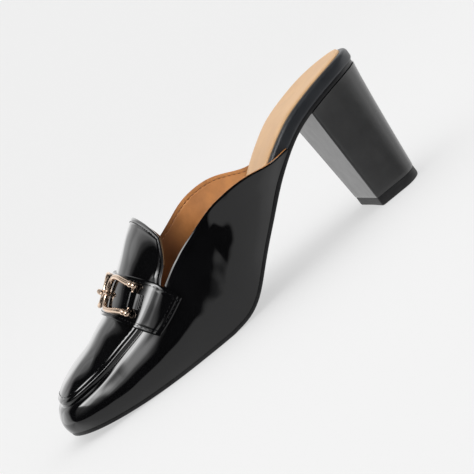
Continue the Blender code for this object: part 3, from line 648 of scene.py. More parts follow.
    def bed_edge(self, st: Station) -> tuple[float, float]:
        """(x, along) on the footbed's outline."""
        if st.angle is None:
            return st.side * float(self.bed_half[st.side](st.along)), st.along
        if st.along < self.seat_arc:
            backward, across = corner_share(st.angle, self.seat_square)
            there = self.seat_arc * (1.0 - backward)
        else:
            forward, across = corner_share(st.angle, FOOTBED_END.square)
            there = self.pole + forward * (FOOTBED_END.front - self.pole)
        return st.side * float(self.bed_half[st.side](there)) * across, there

    def loop(self, beside: int, seat: int, toe: int) -> list[Station]:
        """Stations round an outline: heel end, lateral side, toe end, medial side."""
        seats = [math.pi / 2.0 * (i + 1) / seat for i in range(seat - 1)]
        toes = [math.pi / 2.0 * (i + 1) / toe for i in range(toe - 1)]
        lateral = [Station(1, 0.0, a) for a in seats]
        lateral += [Station(1, a, None) for a in np.linspace(self.seat_arc, self.pole, beside)]
        lateral += [Station(1, 1.0, a) for a in reversed(toes)]
        medial = [Station(-1, s.along, s.angle) for s in reversed(lateral)]
        return [Station(1, 0.0, 0.0)] + lateral + [Station(1, 1.0, 0.0)] + medial


# Finishes

Colour = tuple[float, float, float]
Range = tuple[float, float]


class Pad:
    """A node tree while it is being filled."""

    def __init__(self, tree: bpy.types.NodeTree) -> None:
        """Starts with the tree to fill."""
        self.tree = tree

    def add(
        self, kind: str, inputs: dict[str | int, object] | None = None, **settings: object
    ) -> bpy.types.Node:
        """Adds a node.

        Args:
            kind: the node's type.
            inputs: its sockets by name or number, each with a value or a socket to link.
            settings: its plain properties, which are set first.

        Returns:
            The new node.
        """
        node = self.tree.nodes.new(kind)
        for key, value in settings.items():
            setattr(node, key, value)
        self.feed(node, inputs or {})
        return node

    def feed(self, node: bpy.types.Node, inputs: dict[str | int, object]) -> None:
        """Sets or links sockets, by name or number, of one node."""
        for key, value in inputs.items():
            if isinstance(value, bpy.types.NodeSocket):
                self.tree.links.new(value, node.inputs[key])
            else:
                node.inputs[key].default_value = value

    def reckon(self, operation: str, *values: object, **settings: object) -> bpy.types.NodeSocket:
        """The result of a math node whose values are numbers or sockets."""
        node = self.add("ShaderNodeMath", dict(enumerate(values)), operation=operation, **settings)
        return node.outputs["Value"]


def new_group(
    name: str, inputs: dict[str, float], output: str
) -> tuple[Pad, bpy.types.Node, bpy.types.Node]:
    """Starts a node group that takes a point and numbers and gives one value.

    Args:
        name: the group's name.
        inputs: names and first values of its number sockets, after the point socket.
        output: the name of what it gives.

    Returns:
        The pad that fills it, its input node and its output node.
    """
    tree = bpy.data.node_groups.new(name, "ShaderNodeTree")
    tree.interface.new_socket("Point", in_out="INPUT", socket_type="NodeSocketVector")
    for label, value in inputs.items():
        socket = tree.interface.new_socket(label, in_out="INPUT", socket_type="NodeSocketFloat")
        socket.default_value = value
    tree.interface.new_socket(output, in_out="OUTPUT", socket_type="NodeSocketFloat")
    return Pad(tree), tree.nodes.new("NodeGroupInput"), tree.nodes.new("NodeGroupOutput")


def grain_group() -> bpy.types.NodeTree:
    """Pebbled leather grain: the height of its uneven cells."""
    pad, into, out = new_group("leather_grain", {"Scale": 900.0, "Unevenness": 0.5}, "Height")
    point, scale = into.outputs["Point"], into.outputs["Scale"]
    fine = pad.add("ShaderNodeTexNoise", {"Detail": 4.0, "Vector": point, "Scale": scale})
    bent = {0: fine.outputs["Color"], 1: (0.0006,) * 3, 2: point}
    warp = pad.add("ShaderNodeVectorMath", bent, operation="MULTIPLY_ADD")
    cell = {"Smoothness": 0.6, "Vector": warp.outputs["Vector"], "Scale": scale}
    cells = pad.add("ShaderNodeTexVoronoi", cell, feature="SMOOTH_F1")
    low = pad.reckon("SUBTRACT", 1.0, cells.outputs["Distance"])
    height = pad.reckon("MULTIPLY_ADD", fine.outputs["Fac"], into.outputs["Unevenness"], low)
    pad.feed(out, {"Height": height})
    return pad.tree


def mottle_group() -> bpy.types.NodeTree:
    """Soft cloudy variation between 0 and 1, for colour and gloss."""
    pad, into, out = new_group("mottle", {"Scale": 40.0, "Contrast": 1.0}, "Value")
    at = {"Vector": into.outputs["Point"], "Scale": into.outputs["Scale"]}
    cloud = pad.add("ShaderNodeTexNoise", {"Detail": 3.0, "Roughness": 0.55, **at})
    centre = pad.reckon("SUBTRACT", cloud.outputs["Fac"], 0.5)
    spread = pad.reckon("MULTIPLY_ADD", centre, into.outputs["Contrast"], 0.5, use_clamp=True)
    pad.feed(out, {"Value": spread})
    return pad.tree


class Effects:
    """The node groups that the finishes share, each built once."""

    def __init__(self) -> None:
        """Builds the groups."""
        self.grain = grain_group()
        self.mottle = mottle_group()


class Surface(Pad):
    """A material while it is being filled; a soft cloud moves its colour and gloss."""

    def __init__(self, name: str, effects: Effects, cloud: Range) -> None:
        """Starts a material.

        Args:
            name: its name.
            effects: the shared node groups.
            cloud: the cloud's scale and contrast.
        """
        self.material = bpy.data.materials.new(name)
        self.material.use_nodes = True
        super().__init__(self.material.node_tree)
        self.point = self.add("ShaderNodeTexCoord").outputs["Object"]
        sockets = {"Point": self.point, "Scale": cloud[0], "Contrast": cloud[1]}
        self.cloud = self.add("ShaderNodeGroup", sockets, node_tree=effects.mottle).outputs["Value"]

    def colour(self, dark: Colour, light: Colour) -> bpy.types.NodeSocket:
        """A colour between two, by the cloud."""
        sockets = {"A": (*dark, 1.0), "B": (*light, 1.0), "Factor": self.cloud}
        return self.add("ShaderNodeMix", sockets, data_type="RGBA").outputs["Result"]

    def gloss(self, rough: Range) -> bpy.types.NodeSocket:
        """A roughness between two, by the cloud."""
        sockets = {"To Min": rough[0], "To Max": rough[1], "Value": self.cloud}
        return self.add("ShaderNodeMapRange", sockets).outputs["Result"]

    def speckle(self, scale: float, detail: float) -> bpy.types.NodeSocket:
        """Plain noise at the piece's own points."""
        sockets = {"Scale": scale, "Detail": detail, "Vector": self.point}
        return self.add("ShaderNodeTexNoise", sockets).outputs["Fac"]

    def bump(
        self, height: bpy.types.NodeSocket, depth: float, **under: object
    ) -> bpy.types.NodeSocket:
        """A normal raised by a height, over another normal where one is given."""
        sockets = {"Strength": 1.0, "Distance": depth, "Height": height, **under}
        return self.add("ShaderNodeBump", sockets).outputs["Normal"]

    def done(self, inputs: dict[str, object]) -> bpy.types.Material:
        """Feeds the shader's own sockets and gives the material."""
        self.feed(self.tree.nodes["Principled BSDF"], inputs)
        return self.material


@dataclass(frozen=True)
class Leather:
    """A leather finish; each pair is low and high, weight and roughness, or scale and strength."""

    name: str
    dark: Colour
    light: Colour
    rough: Range
    lacquer: Range
    grain: Range
    wave: Range
    cloud: Range
    specular: float = 0.5
    # painted shade: start Y, end Y and the share of colour left, darkening the lining towards the
    # toe room where shade falls
    painted_toe_shade: tuple[float, float, float] | None = None

    def build(self, effects: Effects) -> bpy.types.Material:
        """Makes the material from the shared groups."""
        pad = Surface(self.name, effects, self.cloud)
        tone = pad.colour(self.dark, self.light)
        # painted shade towards the toe room, where given
        if self.painted_toe_shade is not None:
            tone = self.paint_toe_shade(pad, tone)
        sockets = {"Point": pad.point, "Scale": self.grain[0], "Unevenness": 0.5}
        grain = pad.add("ShaderNodeGroup", sockets, node_tree=effects.grain)
        fine = pad.bump(grain.outputs["Height"], self.grain[1])
        return pad.done({
            "Base Color": tone,
            "Roughness": pad.gloss(self.rough),
            "Normal": pad.bump(pad.speckle(self.wave[0], 1.0), self.wave[1], Normal=fine),
            "Coat Weight": self.lacquer[0],
            "Coat Roughness": self.lacquer[1],
            "Specular IOR Level": self.specular,
        })

    def paint_toe_shade(self, pad: Surface, tone: bpy.types.NodeSocket) -> bpy.types.NodeSocket:
        """Paints shade into the colour towards the toe room, where the lining lies in shadow, from
        one Y to another, down to a share.
        """
        start, end, share = self.painted_toe_shade
        parts = pad.add("ShaderNodeSeparateXYZ", {"Vector": pad.point})
        depth = pad.add(
            "ShaderNodeMapRange",
            {"From Min": start, "From Max": end, "Value": parts.outputs["Y"]},
            interpolation_type="SMOOTHSTEP",
        )
        # warm tint of the painted shade
        shade_tint = (share, share * 0.90, share * 0.80, 1.0)
        sockets = {"A": tone, "B": shade_tint, "Factor": depth.outputs["Result"]}
        toe_shaded = pad.add("ShaderNodeMix", sockets, data_type="RGBA", blend_type="MULTIPLY")
        return toe_shaded.outputs["Result"]


@dataclass(frozen=True)
class Metal:
    """A cast and plated metal with faint polishing waves."""

    name: str
    deep: Colour
    colour: Colour
    rough: Range
    cloud: Range = (420.0, 2.2)
    wave_depth: float = 0.00003

    def build(self, effects: Effects) -> bpy.types.Material:
        """Makes the material from the shared groups."""
        pad = Surface(self.name, effects, self.cloud)
        return pad.done({
            "Base Color": pad.colour(self.deep, self.colour),
            "Roughness": pad.gloss(self.rough),
            "Normal": pad.bump(pad.cloud, self.wave_depth),
            "Metallic": 1.0,
        })


@dataclass(frozen=True)
class Rubber:
    """Moulded rubber or board with a fine stipple of a scale and a depth."""

    name: str
    dark: Colour
    light: Colour
    rough: float
    stipple: Range
    cloud: Range = (160.0, 2.0)

    def build(self, effects: Effects) -> bpy.types.Material:
        """Makes the material from the shared groups."""
        pad = Surface(self.name, effects, self.cloud)
        return pad.done({
            "Base Color": pad.colour(self.dark, self.light),
            "Roughness": self.rough,
            "Normal": pad.bump(pad.speckle(self.stipple[0], 5.0), self.stipple[1]),
        })


FINISHES = {
    "patent": Leather(
        "patent_leather", (0.0014, 0.0014, 0.0017), (0.0030, 0.0030, 0.0035), rough=(0.03, 0.06),
        lacquer=(0.60, 0.02), grain=(2600.0, 6e-7), wave=(62.0, 0.0003), cloud=(45.0, 2.0),
    ),
    "rim": Leather(
        "wrapped_rim", (0.016, 0.018, 0.022), (0.026, 0.029, 0.034), rough=(0.34, 0.44),
        lacquer=(0.12, 0.30), grain=(1300.0, 4e-6), wave=(90.0, 0.0003), cloud=(60.0, 2.0),
    ),
    "heel": Leather(
        "heel_wrap", (0.0270, 0.0270, 0.0274), (0.0360, 0.0360, 0.0365), rough=(0.34, 0.44),
        lacquer=(0.80, 0.20), grain=(1700.0, 6e-6), wave=(70.0, 0.00012), cloud=(120.0, 2.0),
        specular=0.25,
    ),
    "lining": Leather(
        "lining_leather", (0.50, 0.195, 0.048), (0.74, 0.315, 0.088), rough=(0.42, 0.55),
        lacquer=(0.06, 0.30), grain=(1500.0, 3e-5), wave=(80.0, 0.0003), cloud=(90.0, 2.4),
        # painted shade deep in the toe room
        painted_toe_shade=(-0.088, -0.112, 0.22),
    ),
    "sock": Leather(
        "sock_leather", (0.700, 0.415, 0.198), (0.810, 0.520, 0.280), rough=(0.46, 0.60),
        lacquer=(0.05, 0.35), grain=(1300.0, 4e-5), wave=(60.0, 0.0004), cloud=(70.0, 2.0),
    ),
    "thread": Leather(
        "waxed_thread", (0.006, 0.006, 0.007), (0.018, 0.018, 0.019), rough=(0.55, 0.70),
        lacquer=(0.0, 0.20), grain=(3000.0, 3e-5), wave=(900.0, 4e-5), cloud=(800.0, 2.0),
        specular=0.25,
    ),
    "tan_thread": Leather(
        "tan_thread", (0.24, 0.10, 0.04), (0.36, 0.16, 0.07), rough=(0.45, 0.55),
        lacquer=(0.05, 0.25), grain=(3000.0, 3e-5), wave=(900.0, 4e-5), cloud=(800.0, 2.0),
    ),
    "cut": Leather(
        "painted_edge", (0.012, 0.012, 0.012), (0.028, 0.027, 0.026), rough=(0.40, 0.52),
        lacquer=(0.10, 0.25), grain=(2200.0, 4e-5), wave=(200.0, 0.0002), cloud=(300.0, 2.0),
    ),
    "edge": Leather(
        "burnished_edge", (0.075, 0.050, 0.036), (0.150, 0.100, 0.070), rough=(0.34, 0.46),
        lacquer=(0.10, 0.25), grain=(2200.0, 2e-5), wave=(200.0, 0.0002), cloud=(260.0, 2.0),
    ),
    "gold": Metal("pale_gold_plate", (0.80, 0.58, 0.43), (0.97, 0.77, 0.60), rough=(0.18, 0.30)),
    "sole": Rubber(
        "sole_board", (0.008, 0.008, 0.009), (0.016, 0.016, 0.017), 0.34, stipple=(1800.0, 4e-5)
    ),
    "rubber": Rubber(
        "heel_rubber", (0.012, 0.012, 0.013), (0.022, 0.022, 0.023), 0.55, stipple=(2400.0, 8e-5)
    ),
}


def dress(
    piece: bpy.types.Object, angle: float, slot: Slot, *materials: bpy.types.Material
) -> None:
    """Shades a piece, gives it its materials and lets it ride.

    Args:
        piece: the finished mesh.
        angle: how sharp an edge may be and still look smooth, in degrees.
        slot: not used.
        materials: its materials, in the order of its face indices.
    """
    smooth(piece, angle)
    piece.data.materials.clear()
    for material in materials:
        piece.data.materials.append(material)
    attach(piece, "root")
    LOG.info("%s: %d triangles", piece.name, sum(len(p.vertices) - 2 for p in piece.data.polygons))


# Sub-assemblies


@dataclass(frozen=True)
class Stitch:
    """A kind of stitch: the distance from one to the next, its length and its thickness."""

    pitch: float
    length: float
    thick: float
    round_steps: int = 7
    round_sizes: tuple[float, ...] = (0.0, 0.72, 0.96, 1.0, 0.96, 0.72, 0.0)

    def sew(
        self,
        name: str,
        path: np.ndarray,
        up: np.ndarray,
        thread: bpy.types.Material,
        slot: Slot = Slot.PATENT,
    ) -> None:
        """Lays a row of stitches along a path, as one piece.

        Args:
            name: the piece's name.
            path: points of the stitched line.
            up: normals along it.
            thread: the thread's material.
            slot: the record's slot that it belongs to.
        """
        at = measured(path)
        spots = []
        for k in range(int((at[-1] - self.length) / self.pitch)):
            reach = self.length * 0.6 + k * self.pitch
            here = follow(path, at, reach)
            ahead = follow(path, at, reach + 0.3 * self.length)
            spots.append(stand(here, ahead - here, follow(up, at, reach)))
        share = np.linspace(-0.5, 0.5, self.round_steps)
        rise = self.thick * (0.34 - 2.6 * share**2)
        middle = np.stack((share * self.length, np.zeros(self.round_steps), rise), axis=1)
        model = rolled(name, middle, 0.5 * self.thick * np.array(self.round_sizes), 6)
        dress(copies(name, model, spots), 60.0, slot, thread)


@dataclass
class Upper:
    """Vamp, quarters and raised apron, with the lining and the stitching."""

    last: Last
    wing_lines: int = 84
    side_lines: int = 60
    toe_lines: int = 52
    wall_steps: tuple[int, int] = (22, 18)
    apron_steps: tuple[int, int] = (20, 16)
    fine_reach: float = 0.0065
    seam_raise: float = 0.0015
    leather: float = 0.0011
    lining: float = 0.0005
    tip_wall: float = 0.0006
    full_wall: float = 0.36
    stitch: Stitch = Stitch(0.0029, 0.0021, 0.00042)
    stitch_line: float = 0.0034
    collar_line: float = 0.0024
    collar_start: float = 0.30
    edge_band: float = 0.0011
    roll: tuple[Swell, ...] = (Swell(0.45, -3.4, 2.6), Swell(-0.40, -0.15, 0.45))
    apron_edge: tuple[Swell, ...] = (Swell(0.05, 1.9, 1.0), Swell(-0.13, 3.4, 0.45))

    def stations(self) -> list[Station]:
        """The lines from the lateral tip round the toe to the medial tip."""
        last = self.last
        wing = list(np.linspace(LATERAL_ROWS[0].along, last.notch, self.wing_lines + 1))
        side = list(np.linspace(last.notch, last.pole, self.side_lines + 1))[1:]
        toe = [math.pi / 2.0 * i / self.toe_lines for i in range(1, self.toe_lines)]
        lateral = [Station(1, a, None) for a in wing + side]
        lateral += [Station(1, last.pole, a) for a in reversed(toe)]
        medial = [Station(-1, s.along, s.angle) for s in reversed(lateral)]
        return lateral + [Station(1, last.pole, 0.0)] + medial

    def sewn(self) -> list[Station]:
        """The lines of the vamp, to which the apron is sewn."""
        front = self.last.notch - TINY
        return [st for st in self.stations() if st.angle is not None or st.along >= front]

    def wall(self, along: float | np.ndarray) -> float | np.ndarray:
        """Thickness of the outer leather, which thins to the wing tips."""
        full = ease(along, LATERAL_ROWS[0].along, self.full_wall)
        return self.tip_wall + (self.leather - self.tip_wall) * full

    def grid(
        self,
        stations: Sequence[Station],
        line_at: Callable[[Station], Callable[[float], np.ndarray]],
        steps: tuple[int, int],
    ) -> tuple[np.ndarray, np.ndarray]:
        """Places on lines that start at the seam, close together near it.

        Args:
            stations: where the lines lie.
            line_at: gives the line at a station, which ends (1) at the seam.
            steps: how many steps lie within the fine reach and over the rest.

        Returns:
            The places, seam first, and their distances from the seam.
        """
        rows, away = [], []
        for st in stations:
            line = line_at(st)
            total = max(span(line), 0.004)
            near = min(self.fine_reach, 0.4 * total) / total
            fine = np.linspace(0.0, near, steps[0], endpoint=False)
            shares = np.concatenate((fine, np.linspace(near, 1.0, steps[1] + 1)))
            rows.append(np.array([line(1.0 - s) for s in shares]))
            away.append(measured(rows[-1]))
        return np.array(rows), np.array(away)

    def bare_skin(self, name: str) -> bpy.types.Object:
        """Wall and apron welded into one skin that keeps each point's distance from the seam."""
        wall, below = self.grid(self.stations(), self.last.wall_line, self.wall_steps)
        skin = mapped_grid(name, wall[:, ::-1].transpose(1, 0, 2), flip=True)
        tag(skin, "seam", -below[:, ::-1].T)
        parts = [skin]
        for side in Side:
            run = [s for s in self.sewn() if s.side == side.value or s.angle == 0.0]
            run = [Station(side.value, s.along, s.angle) for s in run]
            apron, inside = self.grid(run, self.last.apron_line, self.apron_steps)
            part = mapped_grid(name, apron.transpose(1, 0, 2), flip=True)
            tag(part, "seam", inside.T)
            parts.append(part)
        skin = join(name, parts)
        weld(skin, 8e-6)
        return skin

    @staticmethod
    def hollow(down: np.ndarray | float, along: np.ndarray | float) -> np.ndarray:
        """How far the quarter's back part draws in at a distance below its collar."""
        mm = np.asarray(down) / MM
        dip = ease(mm, 0.0, 13.0) - ease(mm, 13.0, 36.0)
        return -0.5 * MM * dip * (1.0 - ease(along, 0.485, 0.520))

    def relief(self, seam: np.ndarray, along: np.ndarray) -> np.ndarray:
        """How far the leather stands off the last at a distance from the seam.

        Args:
            seam: signed distance from the seam, positive on the apron.
            along: share of the length, which fades the seam out behind the notch.

        Returns:
            Distances outwards.
        """
        s = seam / MM
        sewn = ease(along, self.last.notch - 0.012, self.last.notch + 0.012)
        step = np.where(s > 0.0, self.seam_raise / MM * ease(s, 0.0, 1.25), 0.0)
        edge = np.where(s > 0.0, swells(s, self.apron_edge), 0.0)
        collar = -0.30 * (1.0 - ease(-s, 0.0, 0.8))
        seamed = sewn * (swells(s, self.roll) + edge)
        return MM * (seamed + step + (1.0 - sewn) * collar) + self.hollow(-seam, along)

    def build_shell(self, patent: bpy.types.Material, edge: bpy.types.Material) -> None:
        """The outer leather with the raised apron, its rolled edge and the seam's groove."""
        skin = self.bare_skin("upper_leather")
        at, normals = places(skin)
        along = self.last.along_of(at[:, 1])
        lift = self.relief(tagged(skin, "seam"), along)
        waves = np.array([0.07 * ripple(p, 55.0) + 0.03 * ripple(p, 120.0, 7.0) for p in at]) * MM
        put(skin, at + normals * (lift + waves)[:, None])
        group = skin.vertex_groups.new(name="thick")
        for i, share in enumerate(self.wall(along) / self.leather):
            group.add((i,), float(share), "REPLACE")
        thicken(
            skin,
            self.leather,
            vertex_group="thick",
            material_offset_rim=1,
            use_quality_normals=True,
        )
        dress(skin, 50.0, Slot.PATENT, patent, edge)
        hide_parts("upper")

    def build_lining(self, lining: bpy.types.Material, edge: bpy.types.Material) -> None:
        """The tan leather inside, a little below the collar's edge."""
        skin = self.bare_skin("upper_lining")
        at, normals = places(skin)
        along = self.last.along_of(at[:, 1])
        seam = tagged(skin, "seam")
        collar = 1.0 - ease(along, self.last.notch - 0.02, self.last.notch)
        groove = 0.00022 * hump(seam / MM, -2.4, 0.45) * collar
        depth = self.wall(along) + SKIN_GAP - groove - self.hollow(-seam, along)
        put(skin, at - normals * depth[:, None])
        thicken(skin, self.lining, use_quality_normals=True)
        here, _ = places(skin)
        near = (tagged(skin, "seam") > -self.edge_band)
        near &= self.last.along_of(here[:, 1]) < self.last.notch - 0.004
        for face in skin.data.polygons:
            if near[list(face.vertices)].all():
                face.material_index = 1
        dress(skin, 50.0, Slot.SOCK, lining, edge)

    def build_collar_stitches(self, side: Side, thread: bpy.types.Material) -> None:
        """A row of stitches on the lining below one quarter's collar."""
        path, inner = [], []
        for st in self.stations():
            beside = st.side == side.value and st.angle is None
            if not beside or not self.collar_start < st.along < self.last.notch:
                continue
            line = self.last.wall_line(st)
            share = 1.0 - self.collar_line / span(line)
            here = line(share)
            ahead = self.last.wall_line(Station(st.side, st.along + 0.004, None))(share) - here
            normal = np.cross(line(1.0) - here, ahead)
            normal /= np.linalg.norm(normal)
            normal *= -np.sign(normal[0]) * st.side
            depth = float(self.wall(st.along)) + self.lining - 0.00012
            depth -= float(self.hollow(self.collar_line, st.along))
            path.append(here + normal * depth)
            inner.append(normal)
        name = f"collar_stitches_{side.name.lower()}"
        self.stitch.sew(name, np.array(path), np.array(inner), thread, Slot.SOCK)

    def build_apron_stitches(self, thread: bpy.types.Material) -> None:
        """The row of stitches beside the apron's edge."""
        points, inward = [], []
        for st in self.sewn():
            line = self.last.apron_line(st)
            share = self.stitch_line / span(line)
            points.append(line(1.0 - share))
            inward.append(line(1.0 - 1.3 * share) - points[-1])
        path = np.array(points)
        up = np.cross(np.array(inward), np.gradient(path, axis=0))
        up /= np.linalg.norm(up, axis=1)[:, None]
        up *= np.sign(up[:, 2])[:, None]
        sewn = np.full(len(path), self.last.notch + 0.02)
        lift = self.relief(np.full(len(path), self.stitch_line), sewn)
        self.stitch.sew("apron_stitches", path + up * lift[:, None], up, thread)

    def build(self, kit: Kit) -> None:
        """Builds and dresses all of the upper."""
        self.build_shell(kit["patent"], kit["edge"])
        self.build_lining(kit["lining"], kit["edge"])
        for side in Side:
            self.build_collar_stitches(side, kit["tan_thread"])
        self.build_apron_stitches(kit["thread"])


@dataclass
class Tongue:
    """The high flared tongue with its lining, its folded edge and its edge stitching."""

    last: Last
    rows: int = 72
    columns: int = 90
    stand_off: float = 0.0015
    leather: float = 0.0016
    lining: float = 0.0004
    lining_reach: float = 0.972
    edge_line: float = 0.0024
    edge_start: float = 0.30
    stitch: Stitch = Stitch(0.0026, 0.0018, 0.00036)
    edge: tuple[Swell, ...] = (
        Swell(0.12, 1.1, 0.8), Swell(-0.26, 2.4, 0.40), Swell(0.06, 3.4, 0.7),
    )

    def grid(self, reach: float = 1.0) -> np.ndarray:
        """Base places of the tongue, or of the share of it that the lining covers."""
        even = np.linspace(1.0, -1.0, self.columns + 1)
        bunched = np.sin(np.linspace(math.pi / 2.0, -math.pi / 2.0, self.columns + 1) * 0.999)
        wide = (0.45 * bunched + 0.55 * even) * reach
        steps = np.linspace(0.0, reach, self.rows + 1)
        return np.array([[self.last.tongue_point(s, a) for a in wide] for s in steps])

    def edge_distance(self, grid: np.ndarray) -> np.ndarray:
        """How far each place is from the tongue's sides and top."""
        left = np.array([measured(row) for row in grid])
        above = np.array([measured(line) for line in grid[::-1].transpose(1, 0, 2)]).T[::-1]
        return np.minimum(np.minimum(left, left[:, -1:] - left), above)

    def build(self, kit: Kit) -> None:
        """Builds and dresses the tongue."""
        grid = self.grid()
        outer = mapped_grid("tongue_leather", grid, flip=True)
        at, normals = places(outer)
        flat = self.edge_distance(grid).reshape(-1) / MM
        relief = swells(flat, self.edge) - 0.22 * (1.0 - ease(flat, 0.0, 0.5))
        waves = np.array([0.12 * ripple(p, 45.0, 3.0) for p in at])
        put(outer, at + normals * (self.stand_off + MM * (relief + waves))[:, None])
        thicken(outer, self.leather, material_offset_rim=1)
        dress(outer, 50.0, Slot.PATENT, kit["patent"], kit["cut"])
        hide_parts("tongue")
        inner = mapped_grid("tongue_lining", self.grid(self.lining_reach), flip=True)
        inner_at, inner_normals = places(inner)
        put(inner, inner_at + inner_normals * (self.stand_off - self.leather - SKIN_GAP))
        thicken(inner, self.lining)
        dress(inner, 50.0, Slot.SOCK, kit["lining"])
        path, up = self.edge_path(grid, normals.reshape(grid.shape))
        self.stitch.sew("tongue_stitches", path, up, kit["thread"])

    def edge_path(self, grid: np.ndarray, normals: np.ndarray) -> tuple[np.ndarray, np.ndarray]:
        """The stitched line inside the tongue's edge: up the lateral side, over the top and down.

        Args:
            grid: base places of the tongue.
            normals: the normal at each.

        Returns:
            The line's points and its normals.
        """
        rows, columns = grid.shape[:2]
        reach = self.edge_distance(grid)
        middle, first = columns // 2, int(rows * self.edge_start)
        lines = [(r, slice(0, middle)) for r in range(first, rows - 4)]
        lines += [(slice(rows - 1, rows - 1 - rows // 2, -1), c) for c in range(6, columns - 6)]
        back = slice(columns - 1, columns - 1 - middle, -1)
        lines += [(r, back) for r in range(rows - 5, first - 1, -1)]
        points, ups = [], []
        for line in lines:
            away = reach[line]
            k = int(np.argmax(away >= self.edge_line))
            if k == 0:
                continue
            share = (self.edge_line - away[k - 1]) / (away[k] - away[k - 1])
            pairs = ((a[line][k - 1], a[line][k]) for a in (grid, normals))
            here, up = (low + (high - low) * share for low, high in pairs)
            points.append(here + up * (self.stand_off - 0.00018))
            ups.append(up)
        return np.array(points), np.array(ups)



@dataclass
class Strap:
    """The saddle strap across the apron, with its edge and end stitching."""

    last: Last
    middle_back: float = 0.7025 * 0.238
    middle_front: float = 0.7807 * 0.238
    seam_back: float = 0.6546 * 0.238
    seam_front: float = 0.7471 * 0.238
    end_back: float = 0.6387 * 0.238
    end_front: float = 0.7244 * 0.238
    drop: float = 0.0118
    drop_front: float = 0.0094
    ease_off: float = 0.0012
    seam_raise: float = 0.0015
    clear: float = 0.0004
    thick: float = 0.0017
    bend_reach: float = 0.0024
    top_steps: int = 9
    side_steps: int = 4
    base_lines: int = 8
    fine: int = 150
    wide: int = 26
    stitch: Stitch = Stitch(0.0023, 0.0016, 0.00036)
    stitch_sunk: float = 0.00014
    side_line: float = 1.7
    end_lines: tuple[float, float] = (1.6, 3.9)
    side_edge: tuple[Swell, ...] = (Swell(-0.20, 1.7, 0.38), Swell(0.06, 0.8, 0.6))
    end_edge: tuple[Swell, ...] = (
        Swell(-0.20, 1.6, 0.36), Swell(-0.20, 3.9, 0.36), Swell(0.08, 2.7, 0.6),
    )

    def base_point(self, side: int, across: float, down: float, share: float) -> np.ndarray:
        """A base point under the strap.

        Args:
            side: 1 lateral, -1 medial.
            across: 0 at the apron's middle, 1 at its seam.
            down: 0 at the seam, 1 at the strap's end on the wall.
            share: 0 at the strap's back edge, 1 at its front edge.

        Returns:
            The point on the last.
        """
        last = self.last
        back = self.middle_back + (self.seam_back - self.middle_back) * across**2
        front = self.middle_front + (self.seam_front - self.middle_front) * across**2
        if down > 0.0:
            back = self.seam_back + (self.end_back - self.seam_back) * down
            front = self.seam_front + (self.end_front - self.seam_front) * down
            along = (back + (front - back) * share) / last.length
            line = last.wall_line(Station(side, along, None))
            drop = self.drop + (self.drop_front - self.drop) * share
            return line(1.0 - down * drop / span(line))
        target = (back + (front - back) * share) / last.length
        along = target
        for _ in range(12):
            along = target - last.bow(along) * (1.0 - across * across)
        return last.apron_line(Station(side, along, None))(across)

    def stations(self) -> list[tuple[int, float, float, float]]:
        """(side, across, down, lift) from the lateral end to the medial end."""
        lateral = []
        for k in range(self.side_steps, 0, -1):
            down = k / self.side_steps
            lift = self.seam_raise * (1.0 - down) ** 2 + self.ease_off * down * (1.0 - down)
            lateral.append((1, 1.0, down, lift))
        across = range(self.top_steps, 0, -1)
        lateral += [(1, k / self.top_steps, 0.0, self.seam_raise) for k in across]
        medial = [(-1, *rest) for _, *rest in reversed(lateral)]
        return lateral + [(1, 0.0, 0.0, self.seam_raise)] + medial

    def surface(self) -> tuple[np.ndarray, np.ndarray]:
        """The strap's outer face as (run, width, 3) places, and how far each run line is on."""
        stations = self.stations()
        shares = np.linspace(0.0, 1.0, self.base_lines)
        centre = self.base_lines // 2
        base = np.array([[self.base_point(s, a, d, w) for w in shares] for s, a, d, _ in stations])
        probe = mapped_grid("strap_probe", base)
        at, normals = (a.reshape(base.shape) for a in places(probe))
        bpy.data.objects.remove(probe)
        if normals[len(stations) // 2, centre][2] < 0.0:
            normals = -normals
        lift = np.array([s[3] for s in stations])[:, None, None] + self.clear + self.thick
        coarse = at + normals * lift
        run = measured(coarse[:, centre])
        fine_run = np.linspace(0.0, run[-1], self.fine + 1)
        along_run = Spline(run, coarse)
        stretched = np.array([along_run(r) for r in fine_run])
        reach = self.bend_reach / fine_run[1]
        softened = soften(stretched, reach)
        stretched = softened + soften(stretched - softened, 2.0 * reach)
        fine_wide = np.linspace(0.0, 1.0, self.wide + 1)
        across = [Spline(shares, row) for row in stretched]
        return np.array([[line(w) for w in fine_wide] for line in across]), fine_run

    def build(self, kit: Kit) -> None:
        """Builds and dresses the strap."""
        grid, run = self.surface()
        strap = mapped_grid("strap_leather", grid)
        at, normals = places(strap)
        if normals.reshape(grid.shape)[self.fine // 2, self.wide // 2][2] < 0.0:
            edit(strap, lambda: bpy.ops.mesh.flip_normals())
            normals = -normals
        across = np.array([measured(row) for row in grid])
        side = np.minimum(across, across[:, -1:] - across) / MM
        end = np.minimum(run, run[-1] - run)[:, None] / MM + 0.0 * side
        relief = swells(side, self.side_edge) + swells(end, self.end_edge)
        relief -= 0.25 * (1.0 - ease(np.minimum(side, end), 0.0, 0.45))
        put(strap, at + normals * (MM * relief.reshape(-1))[:, None])
        thicken(strap, self.thick - 0.0001, material_offset_rim=1)
        dress(strap, 50.0, Slot.PATENT, kit["patent"], kit["cut"])
        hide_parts("saddle_strap")
        facing = normals.reshape(grid.shape)
        rows = self.end_rows(grid, facing, run, side)
        rows += self.side_rows(grid, facing, across, end[:, 0])
        for number, (path, up) in enumerate(rows):
            self.stitch.sew(f"strap_stitches_{number + 1}", path, up, kit["thread"])

    def end_rows(
        self, grid: np.ndarray, facing: np.ndarray, run: np.ndarray, side: np.ndarray
    ) -> list[tuple[np.ndarray, np.ndarray]]:
        """The stitched lines across the strap's two ends.

        Args:
            grid: places of the outer face.
            facing: the normal at each.
            run: how far each line of the grid is from the lateral end.
            side: how far each place is from the strap's sides, in millimetres.

        Returns:
            Points and normals of each line.
        """
        rows = []
        for from_end in (run, run[-1] - run):
            for inset in self.end_lines:
                k = int(np.argmin(abs(from_end / MM - inset)))
                keep = side[k] > 1.2
                up = facing[k][keep]
                rows.append((grid[k][keep] - up * self.stitch_sunk, up))
        return rows

